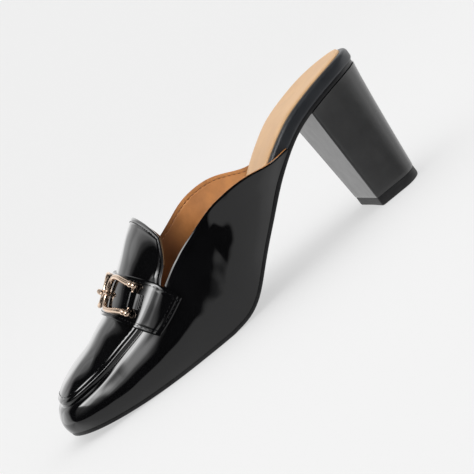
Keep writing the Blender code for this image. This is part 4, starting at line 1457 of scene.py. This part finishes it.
    def side_rows(
        self, grid: np.ndarray, facing: np.ndarray, across: np.ndarray, end: np.ndarray
    ) -> list[tuple[np.ndarray, np.ndarray]]:
        """The stitched lines beside the strap's back and front edges.

        Args:
            grid: places of the outer face.
            facing: the normal at each.
            across: how far each place is from the back edge.
            end: how far each line of the grid is from the strap's ends, in millimetres.

        Returns:
            Points and normals of each line.
        """
        rows = []
        steps = np.arange(self.wide + 1)
        for order in (slice(None), slice(None, None, -1)):
            line, ups = [], []
            for k in np.nonzero(end >= 5.0)[0]:
                away = abs(across[k] - across[k][order][0])[order]
                share = float(np.interp(self.side_line * MM, away, steps))
                i = int(share)
                points, up = grid[k][order], facing[k][order]
                here = points[i] + (points[i + 1] - points[i]) * (share - i)
                line.append(here - up[i] * self.stitch_sunk)
                ups.append(up[i])
            rows.append((np.array(line), np.array(ups)))
        return rows


@dataclass
class Links:
    """The two horseshoe links, their pins and keepers, and the twisted joiner of their noses."""

    strap: Strap
    shift: float = 0.0025
    bar: float = 0.0026
    ball: float = 0.0036
    pin: float = 0.0014
    reach: float = 0.0280
    pin_at: float = 0.0265
    nose_at: float = 0.0050
    outer_width: float = 0.0108
    nose_width: float = 0.0136
    nose_depth: float = 0.80
    bar_points: int = 120
    fine_end: float = 0.008
    joiner_bar: float = 0.0019
    joiner_half: float = 0.0070
    joiner_twists: float = 3.2
    ring_bar: float = 0.00062
    line: float = 0.46
    clear: float = 0.0004
    keeper_width: float = 0.0058
    keeper_thick: float = 0.0007
    slit_bar: float = 0.00055

    def lay(self, x: float, share: float) -> np.ndarray:
        """The base point under the strap at a sideways place and a share of its width."""
        strap = self.strap
        side = 1 if x >= 0.0 else -1
        across = abs(x) / strap.last.half_ball
        for _ in range(8):
            point = strap.base_point(side, across, 0.0, share)
            across = min(across * abs(x) / max(abs(point[0]), 1e-6), 1.0) if abs(x) > 1e-5 else 0.0
        return strap.base_point(side, across, 0.0, share)

    def top(self, reach: float, forward: float) -> tuple[np.ndarray, np.ndarray]:
        """A point on the strap's outer face and its normal.

        Args:
            reach: the sideways place.
            forward: the share of the strap's width.

        Returns:
            The point and the normal.
        """
        strap = self.strap
        point = self.lay(reach, forward)
        sideways = self.lay(reach + 0.0008, forward) - self.lay(reach - 0.0008, forward)
        onward = self.lay(reach, min(forward + 0.04, 1.0)) - self.lay(reach, forward - 0.04)
        normal = np.cross(onward, sideways)
        normal /= np.linalg.norm(normal)
        normal = -normal if normal[2] < 0.0 else normal
        return point + normal * (strap.seam_raise + strap.clear + strap.thick), normal

    def over(self, reach: float, offset: float, lift: float) -> np.ndarray:
        """A point over the strap at an offset to the toe from the links' middle line."""
        width = self.strap.middle_front - self.strap.middle_back
        point, normal = self.top(reach, self.line + offset / width)
        return point + normal * lift

    def bar_path(self, side: int) -> np.ndarray:
        """The middle line of one link, from its back ball round the nose to its front ball."""
        outer, nose = self.outer_width / 2.0, self.nose_width / 2.0
        turn_at = self.nose_at + nose * self.nose_depth
        arm = [(self.reach, outer), (self.pin_at - 0.0030, outer * 1.02)]
        arm += [((self.pin_at + turn_at) / 2.0, (outer + nose) / 2.0)]
        plan = [(x, -y) for x, y in arm]
        for angle in np.linspace(0.0, math.pi, 9):
            inwards = nose * self.nose_depth * math.sin(angle)
            plan.append((turn_at - inwards, -nose * math.cos(angle)))
        plan += arm[::-1]
        bar_lift, ball_lift = self.bar / 2.0 + self.clear, self.ball / 2.0 + self.clear
        lifts = [ball_lift] + [bar_lift] * (len(plan) - 2) + [ball_lift]
        points = [self.over(self.shift + side * x, y, z) for (x, y), z in zip(plan, lifts)]
        run = measured(np.array(points))
        through = Spline(run, points)
        return np.array([through(r) for r in np.linspace(0.0, run[-1], self.bar_points)])

    def build_link(self, side: Side, gold: bpy.types.Material) -> None:
        """One link: a bar with two balls and a collar at each end."""
        path = self.bar_path(side.value)
        run = measured(path)
        near = np.linspace(0.0, self.fine_end, 44)
        plain = np.linspace(self.fine_end, run[-1] - self.fine_end, 90)[1:-1]
        fine_run = np.concatenate((near, plain, run[-1] - near[::-1]))
        path = np.array([follow(path, run, r) for r in fine_run])
        radii = self.bead(np.minimum(fine_run, run[-1] - fine_run))
        bar = rolled(f"link_bar_{side.name.lower()}", path, radii, 20)
        dress(bar, 60.0, Slot.GOLD, gold)
        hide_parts(f"link_{side.name.lower()}")

    def bead(self, from_end: np.ndarray) -> np.ndarray:
        """Radius along the bar: a ball at the tip, a second ball, then the plain bar."""
        big, small, thin = self.ball / 2.0 * 1.04, self.ball / 2.0, self.bar / 2.0 * 1.04
        first = np.sqrt(np.clip(big**2 - (from_end - big) ** 2, 0.0, None))
        second_at = 2.0 * big + 0.72 * small
        second = np.sqrt(np.clip(small**2 - (from_end - second_at) ** 2, 0.0, None))
        bar = np.where(from_end > 3.0 * big, thin, 0.0)
        waist = np.where((from_end > big) & (from_end < 3.6 * big), thin * 0.62, 0.0)
        radii = np.maximum(np.maximum(first, second), np.maximum(bar, waist))
        radii[0] = radii[-1] = 0.0
        return radii

    def build_pin(self, side: Side, gold: bpy.types.Material) -> None:
        """The thin pin between a link's arms, with a small collar at each end."""
        half = self.outer_width / 2.0 - self.bar * 0.4
        lift = self.bar / 2.0 + self.clear
        reach = self.shift + side.value * self.pin_at
        steps = np.linspace(-1.0, 1.0, 25)
        share = np.concatenate(((-1.0,), steps, (1.0,)))
        path = np.array([self.over(reach, half * k, lift) for k in steps])
        tips = (path[:1] - (path[1] - path[0]) * 0.02, path[-1:] + (path[-1] - path[-2]) * 0.02)
        path = np.concatenate((tips[0], path, tips[1]))
        radii = self.pin / 2.0 * (0.72 + 0.55 * (abs(share) > 0.86))
        radii[0] = radii[-1] = 0.0
        pin = rolled(f"pin_bar_{side.name.lower()}", path, radii, 14)
        dress(pin, 50.0, Slot.GOLD, gold)
        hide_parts(f"pin_{side.name.lower()}")

    def build_keeper(self, side: Side, patent: bpy.types.Material, cut: bpy.types.Material) -> None:
        """The leather loop that holds a pin, and the slit that it dives into."""
        half = self.keeper_width / 2.0
        rows = []
        for t in np.linspace(0.0, 1.0, 25):
            reach = self.pin_at - 0.0010 + 0.0046 * t
            rise = 0.0019 * hump(t, 0.24, 0.20) + 0.0010 * (1.0 - ease(t, 0.30, 1.0))
            dive = 0.0008 * ease(t, 0.90, 1.0) + 0.0006 * (1.0 - ease(t, 0.0, 0.10))
            at, lift = self.shift + side.value * reach, 0.0004 + float(rise - dive)
            rows.append([self.over(at, y, lift) for y in np.linspace(-half, half, 15)])
        loop = mapped_grid(
            f"keeper_{side.name.lower()}", np.array(rows), flip=side is Side.MEDIAL
        )
        thicken(loop, self.keeper_thick, material_offset_rim=1)
        dress(loop, 50.0, Slot.PATENT, patent, cut)
        steps = np.linspace(-1.0, 1.0, 25)
        reach = self.shift + side.value * (self.pin_at + 0.0042)
        lips = np.array([self.over(reach, across * half * 1.12, 0.00005) for across in steps])
        sizes = self.slit_bar * np.sqrt(np.clip(1.0 - steps**8, 0.0, None))
        slit = rolled(f"keeper_slit_{side.name.lower()}", lips, sizes, 8, 0.35)
        dress(slit, 60.0, Slot.PATENT, cut)

    def build_joiner(self, gold: bpy.types.Material) -> None:
        """The short twisted bar, with a ring round each nose."""
        lift = self.clear + self.bar + self.joiner_bar / 2.0 + 0.0003
        shares = np.linspace(-1.0, 1.0, 90)
        line = [self.over(self.shift + s * self.joiner_half, 0.0, lift) for s in shares]
        strands = []
        for phase in (0.0, math.pi):
            path, radii = [], []
            for share, point in zip(shares, line):
                turn = self.joiner_twists * math.pi * share + phase
                away = 0.42 * self.joiner_bar * math.sqrt(max(1.0 - share**6, 0.0))
                path.append(point + away * np.array((0.0, math.cos(turn), math.sin(turn))))
                radii.append(0.36 * self.joiner_bar * min(1.0, 9.0 * (1.0 - abs(share))))
            strands.append(rolled("strand", np.array(path), np.array(radii), 12))
        size = self.bar / 2.0 + 0.0009
        sideways = np.array((1.0, 0.0, 0.0))
        turns = np.linspace(0.0, 2.0 * math.pi, 41)
        for sign in (-1.0, 1.0):
            reach = self.shift + sign * (self.joiner_half - 0.0006)
            middle = self.over(reach, 0.0, self.clear + self.bar / 2.0)
            normal = self.top(reach, self.line)[1]
            ring = [middle + size * (math.cos(t) * sideways + math.sin(t) * normal) for t in turns]
            strands.append(rolled("ring", np.array(ring), np.full(len(turns), self.ring_bar), 10))
        joiner = join("joiner_bar", strands)
        dress(joiner, 60.0, Slot.GOLD, gold)
        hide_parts("joiner")

    def build(self, kit: Kit) -> None:
        """Builds and dresses the trim."""
        for side in Side:
            self.build_link(side, kit["gold"])
            self.build_pin(side, kit["gold"])
            self.build_keeper(side, kit["patent"], kit["cut"])
        self.build_joiner(kit["gold"])


@dataclass
class Bottom:
    """Outsole, wrapped footbed and sock, each a layer on a foot-shaped outline."""

    last: Last
    beside: int = 90
    seat: int = 30
    toe: int = 30
    across: int = 22
    bed_thick: float = 0.0066
    bed_front: float = 0.0036
    bed_round: float = 0.0024
    round_steps: int = 7
    sock_inset: float = 0.0036
    sock_thick: float = 0.0010
    sole_recess: float = 0.0006
    seat_recess: float = 0.0012
    wing_start: float = 0.225
    wing_full: float = 0.300

    def outline(self, edge: Callable[[Station], tuple[float, float]]) -> np.ndarray:
        """Plan points of an outline, heel end first, then the lateral side."""
        last = self.last
        plan = [edge(st) for st in last.loop(self.beside, self.seat, self.toe)]
        return np.array([(x, last.heel_middle - along * last.length) for x, along in plan])

    def sole_edge(self, st: Station) -> tuple[float, float]:
        """(x, along) on the outsole's outline."""
        last = self.last
        if st.angle is not None and st.along > last.seat_arc:
            x, there = last.rail_at(0, st)
            shrink = 1.0 - self.sole_recess / last.half_ball
            return x * shrink, there - self.sole_recess / last.length
        x, there = last.bed_edge(st)
        if st.angle is not None:
            backward = 1.0 - there / last.seat_arc
            shrink = 1.0 - self.seat_recess / float(last.bed_half[st.side](last.seat_arc))
            return x * shrink, there + self.seat_recess * backward / last.length
        carry = float(ease(there, self.wing_start, self.wing_full))
        seat = x - st.side * self.seat_recess
        front = st.side * (float(last.half[st.side][0](there)) - self.sole_recess)
        return seat + (front - seat) * carry, there

    @staticmethod
    def inset(outline: np.ndarray, distance: float) -> np.ndarray:
        """A closed outline moved inwards."""
        run = np.roll(outline, -1, axis=0) - np.roll(outline, 1, axis=0)
        run /= np.linalg.norm(run, axis=1)[:, None]
        return outline + np.stack((run[:, 1], -run[:, 0]), axis=1) * distance

    def face(
        self,
        loop: Sequence[tuple[float, float, float]],
        level: Callable[[float], float],
        crown: Callable[[float, float], float],
    ) -> np.ndarray:
        """The upper or lower face of a layer.

        Args:
            loop: its rim, heel end first, then the lateral side.
            level: the rim's height at a share of the length.
            crown: extra height at a share of the length and a share across.

        Returns:
            Rows of places from the lateral to the medial side.
        """
        half = len(loop) // 2
        lateral = np.array(loop[: half + 1])
        medial = np.array([loop[0]] + loop[half:][::-1])
        rows = []
        for left, right in zip(lateral, medial):
            row = []
            for share in np.linspace(0.0, 1.0, self.across + 1):
                x, y, _ = left + (right - left) * share
                along = self.last.along_of(y)
                inner = 0.0 < share < 1.0
                rise = crown(along, 2.0 * share - 1.0) if inner else 0.0
                row.append((x, y, level(along) + rise))
            rows.append(row)
        return np.array(rows)

    def layer(
        self,
        name: str,
        outline: np.ndarray,
        rings: Sequence[tuple[float, Callable[[float], float]]],
        crown: Callable[[float, float], float] = lambda along, across: 0.0,
    ) -> bpy.types.Object:
        """A closed layer: a band of rings between a lower and an upper face.

        Args:
            name: the piece's name.
            outline: its plan.
            rings: inset and height of each ring, from the lower face's rim to the upper face's rim.
            crown: extra height of the upper face at a share of the length and a share across.

        Returns:
            The closed mesh.
        """
        loops = []
        for inset, level in rings:
            plan = self.inset(outline, inset)
            loops.append([(x, y, level(self.last.along_of(y))) for x, y in plan])
        lower = self.face(loops[0], rings[0][1], lambda along, across: 0.0)
        upper = self.face(loops[-1], rings[-1][1], crown)
        parts = [
            mapped_grid(name, np.array([loop + loop[:1] for loop in loops])),
            mapped_grid(name, lower, flip=True),
            mapped_grid(name, upper),
        ]
        piece = join(name, parts)
        weld(piece, 4e-6)
        edit(piece, lambda: bpy.ops.mesh.normals_make_consistent(inside=False))
        return piece

    def bed_top(self, along: float) -> float:
        """Height of the footbed's upper face."""
        thin = float(ease(along, 0.42, 0.60))
        thick = self.bed_thick + (self.bed_front - self.bed_thick) * thin
        return self.last.base(along) + thick * self.last.stretch(along)

    def build_outsole(self, sole: bpy.types.Material) -> None:
        """The thin sole up to the upper's foot, its edge set with a small round."""
        last = self.last
        turn = last.sole_thick * 0.32
        rings = (
            (turn, last.ground),
            (turn * 0.3, lambda a: last.ground(a) + turn * 0.3 * last.stretch(a)),
            (0.0, lambda a: last.ground(a) + turn * last.stretch(a)),
            (0.0, lambda a: last.base(a) - 0.00002),
        )
        piece = self.layer("outsole_board", self.outline(self.sole_edge), rings)
        dress(piece, 40.0, Slot.SOLE, sole)
        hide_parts("outsole")

    def build_bed(self, rim: bpy.types.Material) -> None:
        """The footbed with its padded, wrapped edge and a groove above the sole."""
        last = self.last
        rings = [(0.0007, last.base), (0.0002, lambda a: last.base(a) + 0.0006 * last.stretch(a))]
        rings += [(0.0, lambda a: last.base(a) + 0.0012 * last.stretch(a))]
        for turn in np.linspace(0.0, math.pi / 2.0, self.round_steps + 1):
            down = self.bed_round * (1.0 - math.sin(turn))
            inset = self.bed_round * (1.0 - math.cos(turn))
            rings.append((inset, lambda a, d=down: self.bed_top(a) - d))
        piece = self.layer("footbed_wrap", self.outline(last.bed_edge), rings)
        dress(piece, 50.0, Slot.PATENT, rim)
        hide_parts("footbed")

    def build_sock(self, sock: bpy.types.Material) -> None:
        """The pale sock, lightly padded in the seat and pressed in at its edge."""
        t = self.sock_thick
        rings = (
            (self.sock_inset, lambda a: self.bed_top(a) - 0.0001),
            (self.sock_inset, lambda a: self.bed_top(a) + 0.45 * t),
            (self.sock_inset + 0.12 * t, lambda a: self.bed_top(a) + 0.75 * t),
            (self.sock_inset + 0.45 * t, lambda a: self.bed_top(a) + t),
        )

        def pad(along: float, across: float) -> float:
            """A soft swell inside the edge and a shallow cup for the heel."""
            cup = 0.0010 * float(hump(along, 0.13, 0.09)) * (1.0 - across**2)
            return (0.0006 - cup) * (1.0 - abs(across) ** 6)

        piece = self.layer("sock_leather", self.outline(self.last.bed_edge), rings, pad)
        dress(piece, 50.0, Slot.SOCK, sock)
        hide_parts("sock")

    def build(self, kit: Kit) -> None:
        """Builds and dresses the layers."""
        self.build_outsole(kit["sole"])
        self.build_bed(kit["rim"])
        self.build_sock(kit["sock"])


@dataclass
class Heel:
    """The wrapped block heel and its top piece."""

    last: Last
    top_inset: float = 0.0007
    top_breast: float = 0.0410
    foot_back: float = 0.0082
    foot_breast: float = 0.0385
    foot_half: float = 0.0208
    foot_arc: float = 0.0145
    corner: float = 0.0014
    foot_turn: float = 0.0005
    foot_draw: float = 0.012
    tip_thick: float = 0.0052
    tip_inset: float = 0.0003
    tip_bevel: float = 0.0009
    arc_turns: int = 30
    rows: int = 28
    flank_steps: int = 8
    corner_turns: int = 6
    breast_steps: int = 26
    streak: float = 0.00005

    def breast(self, share: float) -> float:
        """Distance of the breast from the seat's back at a share of the way down."""
        return self.top_breast + (self.foot_breast - self.top_breast) * share

    def half_outline(self, side: int, share: float) -> list[tuple[float, float]]:
        """Plan points (x, distance from the seat's back) of one side, from back to breast.

        Args:
            side: 1 lateral, -1 medial.
            share: the share of the way down.

        Returns:
            The points, the breast's middle left out.
        """
        last = self.last
        carry = share**0.85
        arc = last.seat_arc * last.length - self.top_inset
        run = []
        for k in range(self.arc_turns + 1):
            turn = math.pi / 2.0 * k / self.arc_turns
            backward, across = corner_share(turn, last.seat_square)
            top_back = self.top_inset + arc * (1.0 - backward)
            top_half = float(last.bed_half[side](top_back / last.length)) - self.top_inset
            foot_back = self.foot_back + self.foot_arc * (1.0 - backward)
            x = top_half * across + (self.foot_half * across - top_half * across) * carry
            run.append((x, top_back + (foot_back - top_back) * carry))
        top_half = float(last.bed_half[side](self.top_breast / last.length)) - self.top_inset
        half = top_half + (self.foot_half - top_half) * carry
        last_x, last_back = run[-1]
        r, breast = self.corner, self.breast(share)
        for k in range(1, self.flank_steps):
            t = k / self.flank_steps
            run.append((last_x + (half - last_x) * t, last_back + (breast - r - last_back) * t))
        for k in range(self.corner_turns + 1):
            turn = math.pi / 2.0 * k / self.corner_turns
            run.append((half - r + r * math.cos(turn), breast - r + r * math.sin(turn)))
        for k in range(1, self.breast_steps):
            run.append(((half - r) * (1.0 - k / self.breast_steps), breast))
        return [(side * x, back) for x, back in run]

    def outline(self, share: float) -> list[tuple[float, float]]:
        """Plan points (x, distance from the seat's back) all round at a share of the way down."""
        lateral, medial = (self.half_outline(side, share) for side in (1, -1))
        return lateral + [(0.0, lateral[-1][1])] + medial[:0:-1]

    @staticmethod
    def band(rings: Sequence[Sequence[tuple[float, float, float]]], name: str) -> bpy.types.Object:
        """A closed solid through rings of equal count."""
        piece = mapped_grid(name, np.array([list(ring) + [ring[0]] for ring in rings]))
        weld(piece)

        def fill() -> None:
            """Closes the two open ends."""
            bpy.ops.mesh.select_all(action="DESELECT")
            bpy.ops.mesh.select_non_manifold()
            bpy.ops.mesh.fill_holes(sides=0)

        edit(piece, fill)
        edit(piece, lambda: bpy.ops.mesh.normals_make_consistent(inside=False))
        return piece

    def build_block(self, wrap: bpy.types.Material) -> None:
        """The block, wrapped, with a soft turn at its foot."""
        last = self.last
        foot = self.tip_thick + 0.0001
        rings = []
        for share in np.linspace(1.0, 0.0, self.rows):
            ring = []
            for x, back in self.outline(share):
                top = last.ground(back / last.length) - 0.0001
                z = foot + (top - foot) * (1.0 - share)
                if back > self.breast(share) - 1e-6:
                    back -= self.streak * (1.0 + ripple((3.0 * x, 0.0, 0.12 * z), 260.0, 2.0))
                ring.append((x, last.heel_middle - back, z))
            rings.append(ring)
        inset, middle = 1.0 - self.foot_draw, self.centre_y()
        low = [(x * inset, middle + (y - middle) * inset, z) for x, y, z in rings[0]]
        lifted = [(x, y, z + self.foot_turn) for x, y, z in rings[0]]
        piece = self.band([low, lifted] + rings[1:], "heel_block")
        dress(piece, 40.0, Slot.HEEL_WRAP, wrap)
        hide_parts("heel")

    def centre_y(self) -> float:
        """The middle of the heel's foot."""
        return self.last.heel_middle - (self.foot_back + self.foot_breast) / 2.0

    def build_tip(self, rubber: bpy.types.Material) -> None:
        """The rubber top piece with an eased lower edge."""
        middle, inset, bevel = self.centre_y(), self.tip_inset, self.tip_bevel
        levels = (
            (inset + bevel, 0.0),
            (inset + 0.3 * bevel, 0.3 * bevel),
            (inset, bevel),
            (inset, self.tip_thick - 0.0003),
            (inset + 0.0002, self.tip_thick),
        )
        rings = []
        for distance, z in levels:
            ring = []
            for x, back in self.outline(1.0):
                y = self.last.heel_middle - back - middle
                k = 1.0 - distance / math.hypot(x, y)
                ring.append((x * k, middle + y * k, z))
            rings.append(ring)
        piece = self.band(rings, "heel_tip")
        dress(piece, 40.0, Slot.RUBBER, rubber)
        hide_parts("top_piece")

    def build(self, kit: Kit) -> None:
        """Builds and dresses the heel."""
        self.build_block(kit["heel"])
        self.build_tip(kit["rubber"])


# Studio

WHITE = (1.0, 1.0, 1.0, 1.0)
Stops = tuple[tuple[float, float], ...]


@dataclass(frozen=True)
class SoftLight:
    """A soft studio light: place, aim, size and strength."""

    name: str
    at: tuple[float, float, float]
    aim: tuple[float, float, float]
    size: float
    power: float

    def build(self) -> None:
        """Adds the area light, which gloss doesn't show."""
        data = bpy.data.lights.new(self.name, "AREA")
        data.shape = "RECTANGLE"
        data.size = data.size_y = self.size
        data.energy = self.power
        light = bpy.data.objects.new(self.name, data)
        light.location = self.at
        way = Vector(self.aim) - Vector(self.at)
        light.rotation_euler = way.to_track_quat("-Z", "Y").to_euler()
        light.visible_glossy = False
        bpy.context.scene.collection.objects.link(light)


@dataclass(frozen=True)
class Glow:
    """A part of the studio that only gloss shows.

    Its levels are given round the shoe, in degrees from the outer side up over it, and along it,
    from the toe (-1) to the heel (1); the lean turns it by a share of some degrees along the shoe.
    """

    around: Stops
    along: Stops = ((-1.0, 1.0), (1.0, 1.0))
    lean: Stops = ((-1.0, 0.0), (1.0, 0.0))
    lean_degrees: float = 0.0


FLOOR_GLOW = Glow(
    around=(
        (-180.0, 0.088), (-160.0, 0.085), (-130.0, 0.070), (-90.0, 0.092), (-70.0, 0.084),
        (-50.0, 0.066), (-37.0, 0.055), (-14.6, 0.052), (-13.4, 0.002), (180.0, 0.002),
    ),
    lean=((-1.0, 1.0), (-0.60, 1.0), (-0.17, 0.0), (0.08, 0.0), (0.30, 0.55), (1.0, 1.0)),
    lean_degrees=20.0,
)
FAR_GLOW = Glow(
    around=(
        (-180.0, 0.0), (124.0, 0.0), (131.0, 0.02), (137.0, 0.065), (144.0, 0.092), (152.0, 0.098),
        (162.0, 0.125), (180.0, 0.125),
    ),
    along=((-1.0, 1.0), (-0.42, 1.0), (-0.34, 0.62), (-0.20, 0.62), (-0.10, 1.0), (1.0, 1.0)),
)
VAMP_GLOW = Glow(
    around=(
        (-180.0, 0.0), (4.0, 0.0), (16.0, 0.07), (28.0, 0.29), (40.0, 0.50), (52.0, 0.80),
        (64.0, 0.95), (74.0, 0.50), (84.0, 0.0), (180.0, 0.0),
    ),
    along=(
        (-1.0, 0.0), (-0.70, 0.03), (-0.56, 0.14), (-0.46, 0.95), (-0.38, 1.0), (-0.29, 0.0),
        (1.0, 0.0),
    ),
)
STRIPE_GLOW = Glow(
    around=(
        (-180.0, 0.0), (52.0, 0.0), (68.0, 0.38), (79.0, 1.0), (84.0, 0.9), (91.0, 0.0),
        (180.0, 0.0),
    ),
    along=(
        (-1.0, 0.0), (-0.72, 0.03), (-0.665, 0.15), (-0.648, 0.90), (-0.63, 1.0), (-0.58, 1.0),
        (-0.46, 0.7), (-0.30, 0.06), (1.0, 0.06),
    ),
)
APRON_GLOW = Glow(
    around=(
        (-180.0, 0.0), (94.0, 0.0), (103.0, 0.060), (112.0, 0.090), (128.0, 0.100), (136.0, 0.045),
        (148.0, 0.0), (180.0, 0.0),
    ),
    along=(
        (-1.0, 0.0), (-0.39, 0.0), (-0.345, 0.25), (-0.31, 0.95), (-0.20, 1.0), (-0.08, 0.0),
        (1.0, 0.0),
    ),
)


@dataclass
class Studio:
    """Floor and backdrop in one pale bowl, the soft light, what gloss shows, and the camera."""

    floor_radius: float = 1.3
    floor_rings: int = 12
    floor_turns: int = 73
    sweep: float = 0.7
    wall: float = 1.6
    aim: tuple[float, float, float] = (0.0, -0.09665, 0.038)
    distance: float = 0.764
    azimuth: float = 6.97
    elevation: float = 8.00
    roll: float = 37.68
    lens: float = 110.8
    shift: tuple[float, float] = (0.0558, 0.0162)
    sky: float = 1.0
    gloss: float = 9.0
    paper_glow: float = 0.55
    paper_grey: float = 0.34
    glows: tuple[Glow, ...] = (FLOOR_GLOW, FAR_GLOW, VAMP_GLOW, STRIPE_GLOW, APRON_GLOW)
    overhead: SoftLight = SoftLight("overhead", (0.25, -0.15, 1.15), (0.0, -0.10, 0.0), 0.9, 2.0)

    def build_floor(self) -> None:
        """The bowl: flat round the shoe, then swept up on all sides."""
        profile = [(r, 0.0) for r in np.linspace(0.0, self.floor_radius, self.floor_rings)]
        for k in range(1, self.floor_rings + 1):
            turn = math.pi / 2.0 * k / self.floor_rings
            out, up = self.sweep * math.sin(turn), self.sweep * (1.0 - math.cos(turn))
            profile.append((self.floor_radius + out, up))
        profile.append((self.floor_radius + self.sweep, self.sweep + self.wall))
        turns = np.linspace(0.0, 2.0 * math.pi, self.floor_turns)
        rows = [[(r * math.cos(t), r * math.sin(t) - 0.1, z) for t in turns] for r, z in profile]
        bowl = mapped_grid("studio_sweep", np.array(rows))
        weld(bowl)
        smooth(bowl, 60.0)
        paper = bpy.data.materials.new("pale_paper")
        paper.use_nodes = True
        Pad(paper.node_tree).feed(paper.node_tree.nodes["Principled BSDF"], {
            "Base Color": (*(self.paper_grey,) * 3, 1.0),
            "Roughness": 0.9,
            "Specular IOR Level": 0.0,
            "Emission Color": WHITE,
            "Emission Strength": self.paper_glow,
        })
        bowl.data.materials.append(paper)
        bowl.visible_glossy = False

    @staticmethod
    def ramp(
        pad: Pad, value: bpy.types.NodeSocket, stops: Stops, start: float, width: float
    ) -> bpy.types.NodeSocket:
        """A smooth ramp of grey levels over a value.

        Args:
            pad: the world's pad.
            value: what it reads, between 0 and 1.
            stops: places and levels, rising.
            start: the place at which the value is 0.
            width: the distance from there to the place at which it is 1.

        Returns:
            The level.
        """
        node = pad.add("ShaderNodeValToRGB", {"Fac": value})
        node.color_ramp.interpolation = "EASE"
        elements = node.color_ramp.elements
        at = [(place - start) / width for place, _ in stops]
        elements[0].position, elements[1].position = at[0], at[-1]
        elements[0].color, elements[1].color = ((*(stops[i][1],) * 3, 1.0) for i in (0, -1))
        for position, (_, level) in list(zip(at, stops))[1:-1]:
            elements.new(position).color = (level, level, level, 1.0)
        return node.outputs["Color"]

    def build_sky(self) -> None:
        """Even light for the matt surfaces, and for gloss the sum of the studio's glows."""
        world = bpy.data.worlds.new("studio_light")
        world.use_nodes = True
        pad = Pad(world.node_tree)
        plain, out = (world.node_tree.nodes[name] for name in ("Background", "World Output"))
        pad.feed(plain, {"Color": WHITE, "Strength": self.sky})
        way = pad.add("ShaderNodeTexCoord").outputs["Generated"]
        parts = pad.add("ShaderNodeSeparateXYZ", {"Vector": way}).outputs
        angle = pad.reckon("ARCTAN2", parts["Z"], parts["X"])
        full = {"From Min": -math.pi, "From Max": math.pi, "Value": angle}
        turn = pad.add("ShaderNodeMapRange", full).outputs["Result"]
        length = {"From Min": -1.0, "Value": parts["Y"]}
        reach = pad.add("ShaderNodeMapRange", length).outputs["Result"]
        total = 0.0
        for glow in self.glows:
            lean = self.ramp(pad, reach, glow.lean, -1.0, 2.0)
            shift = pad.reckon("MULTIPLY_ADD", lean, glow.lean_degrees / 360.0, turn)
            level = self.ramp(pad, shift, glow.around, -180.0, 360.0)
            fade = self.ramp(pad, reach, glow.along, -1.0, 2.0)
            total = pad.reckon("MULTIPLY_ADD", level, fade, total)
        room = pad.add("ShaderNodeBackground", {"Color": total, "Strength": self.gloss})
        ray = pad.add("ShaderNodeLightPath").outputs["Is Glossy Ray"]
        shaders = {"Fac": ray, 1: plain.outputs["Background"], 2: room.outputs["Background"]}
        pad.feed(out, {"Surface": pad.add("ShaderNodeMixShader", shaders).outputs["Shader"]})
        bpy.context.scene.world = world
        bpy.context.scene.view_settings.view_transform = "Standard"

    def build_camera(self) -> None:
        """The camera at the photograph's angle, turned about its own axis as the photograph is."""
        a, e, roll = (math.radians(v) for v in (self.azimuth, self.elevation, self.roll))
        back = Vector((math.cos(a) * math.cos(e), -math.sin(a) * math.cos(e), math.sin(e)))
        right = Vector((math.sin(a), math.cos(a), 0.0))
        up = back.cross(right)
        turned = math.cos(roll) * right - math.sin(roll) * up
        upright = math.sin(roll) * right + math.cos(roll) * up
        data = bpy.data.cameras.new("camera")
        data.sensor_width = 36.0
        data.lens = self.lens
        data.shift_x, data.shift_y = self.shift
        data.clip_start, data.clip_end = 0.05, 20.0
        camera = bpy.data.objects.new("camera", data)
        turn = Matrix((turned, upright, back)).transposed().to_4x4()
        camera.matrix_world = Matrix.Translation(Vector(self.aim) + self.distance * back) @ turn
        bpy.context.scene.collection.objects.link(camera)
        bpy.context.scene.camera = camera

    def build(self) -> None:
        """Sets the stage."""
        self.build_floor()
        self.build_sky()
        self.build_camera()
        self.overhead.build()


def main() -> None:
    """Builds the shoe's sub-assemblies in order, then the studio."""
    logging.basicConfig(level=logging.INFO, format="%(name)s: %(message)s")
    effects = Effects()
    kit = {name: finish.build(effects) for name, finish in FINISHES.items()}
    last = Last()
    strap = Strap(last)
    for assembly in (Bottom(last), Heel(last), Upper(last), Tongue(last), strap, Links(strap)):
        assembly.build(kit)
    Studio().build()
    bpy.context.view_layer.update()


if __name__ == "__main__":
    main()
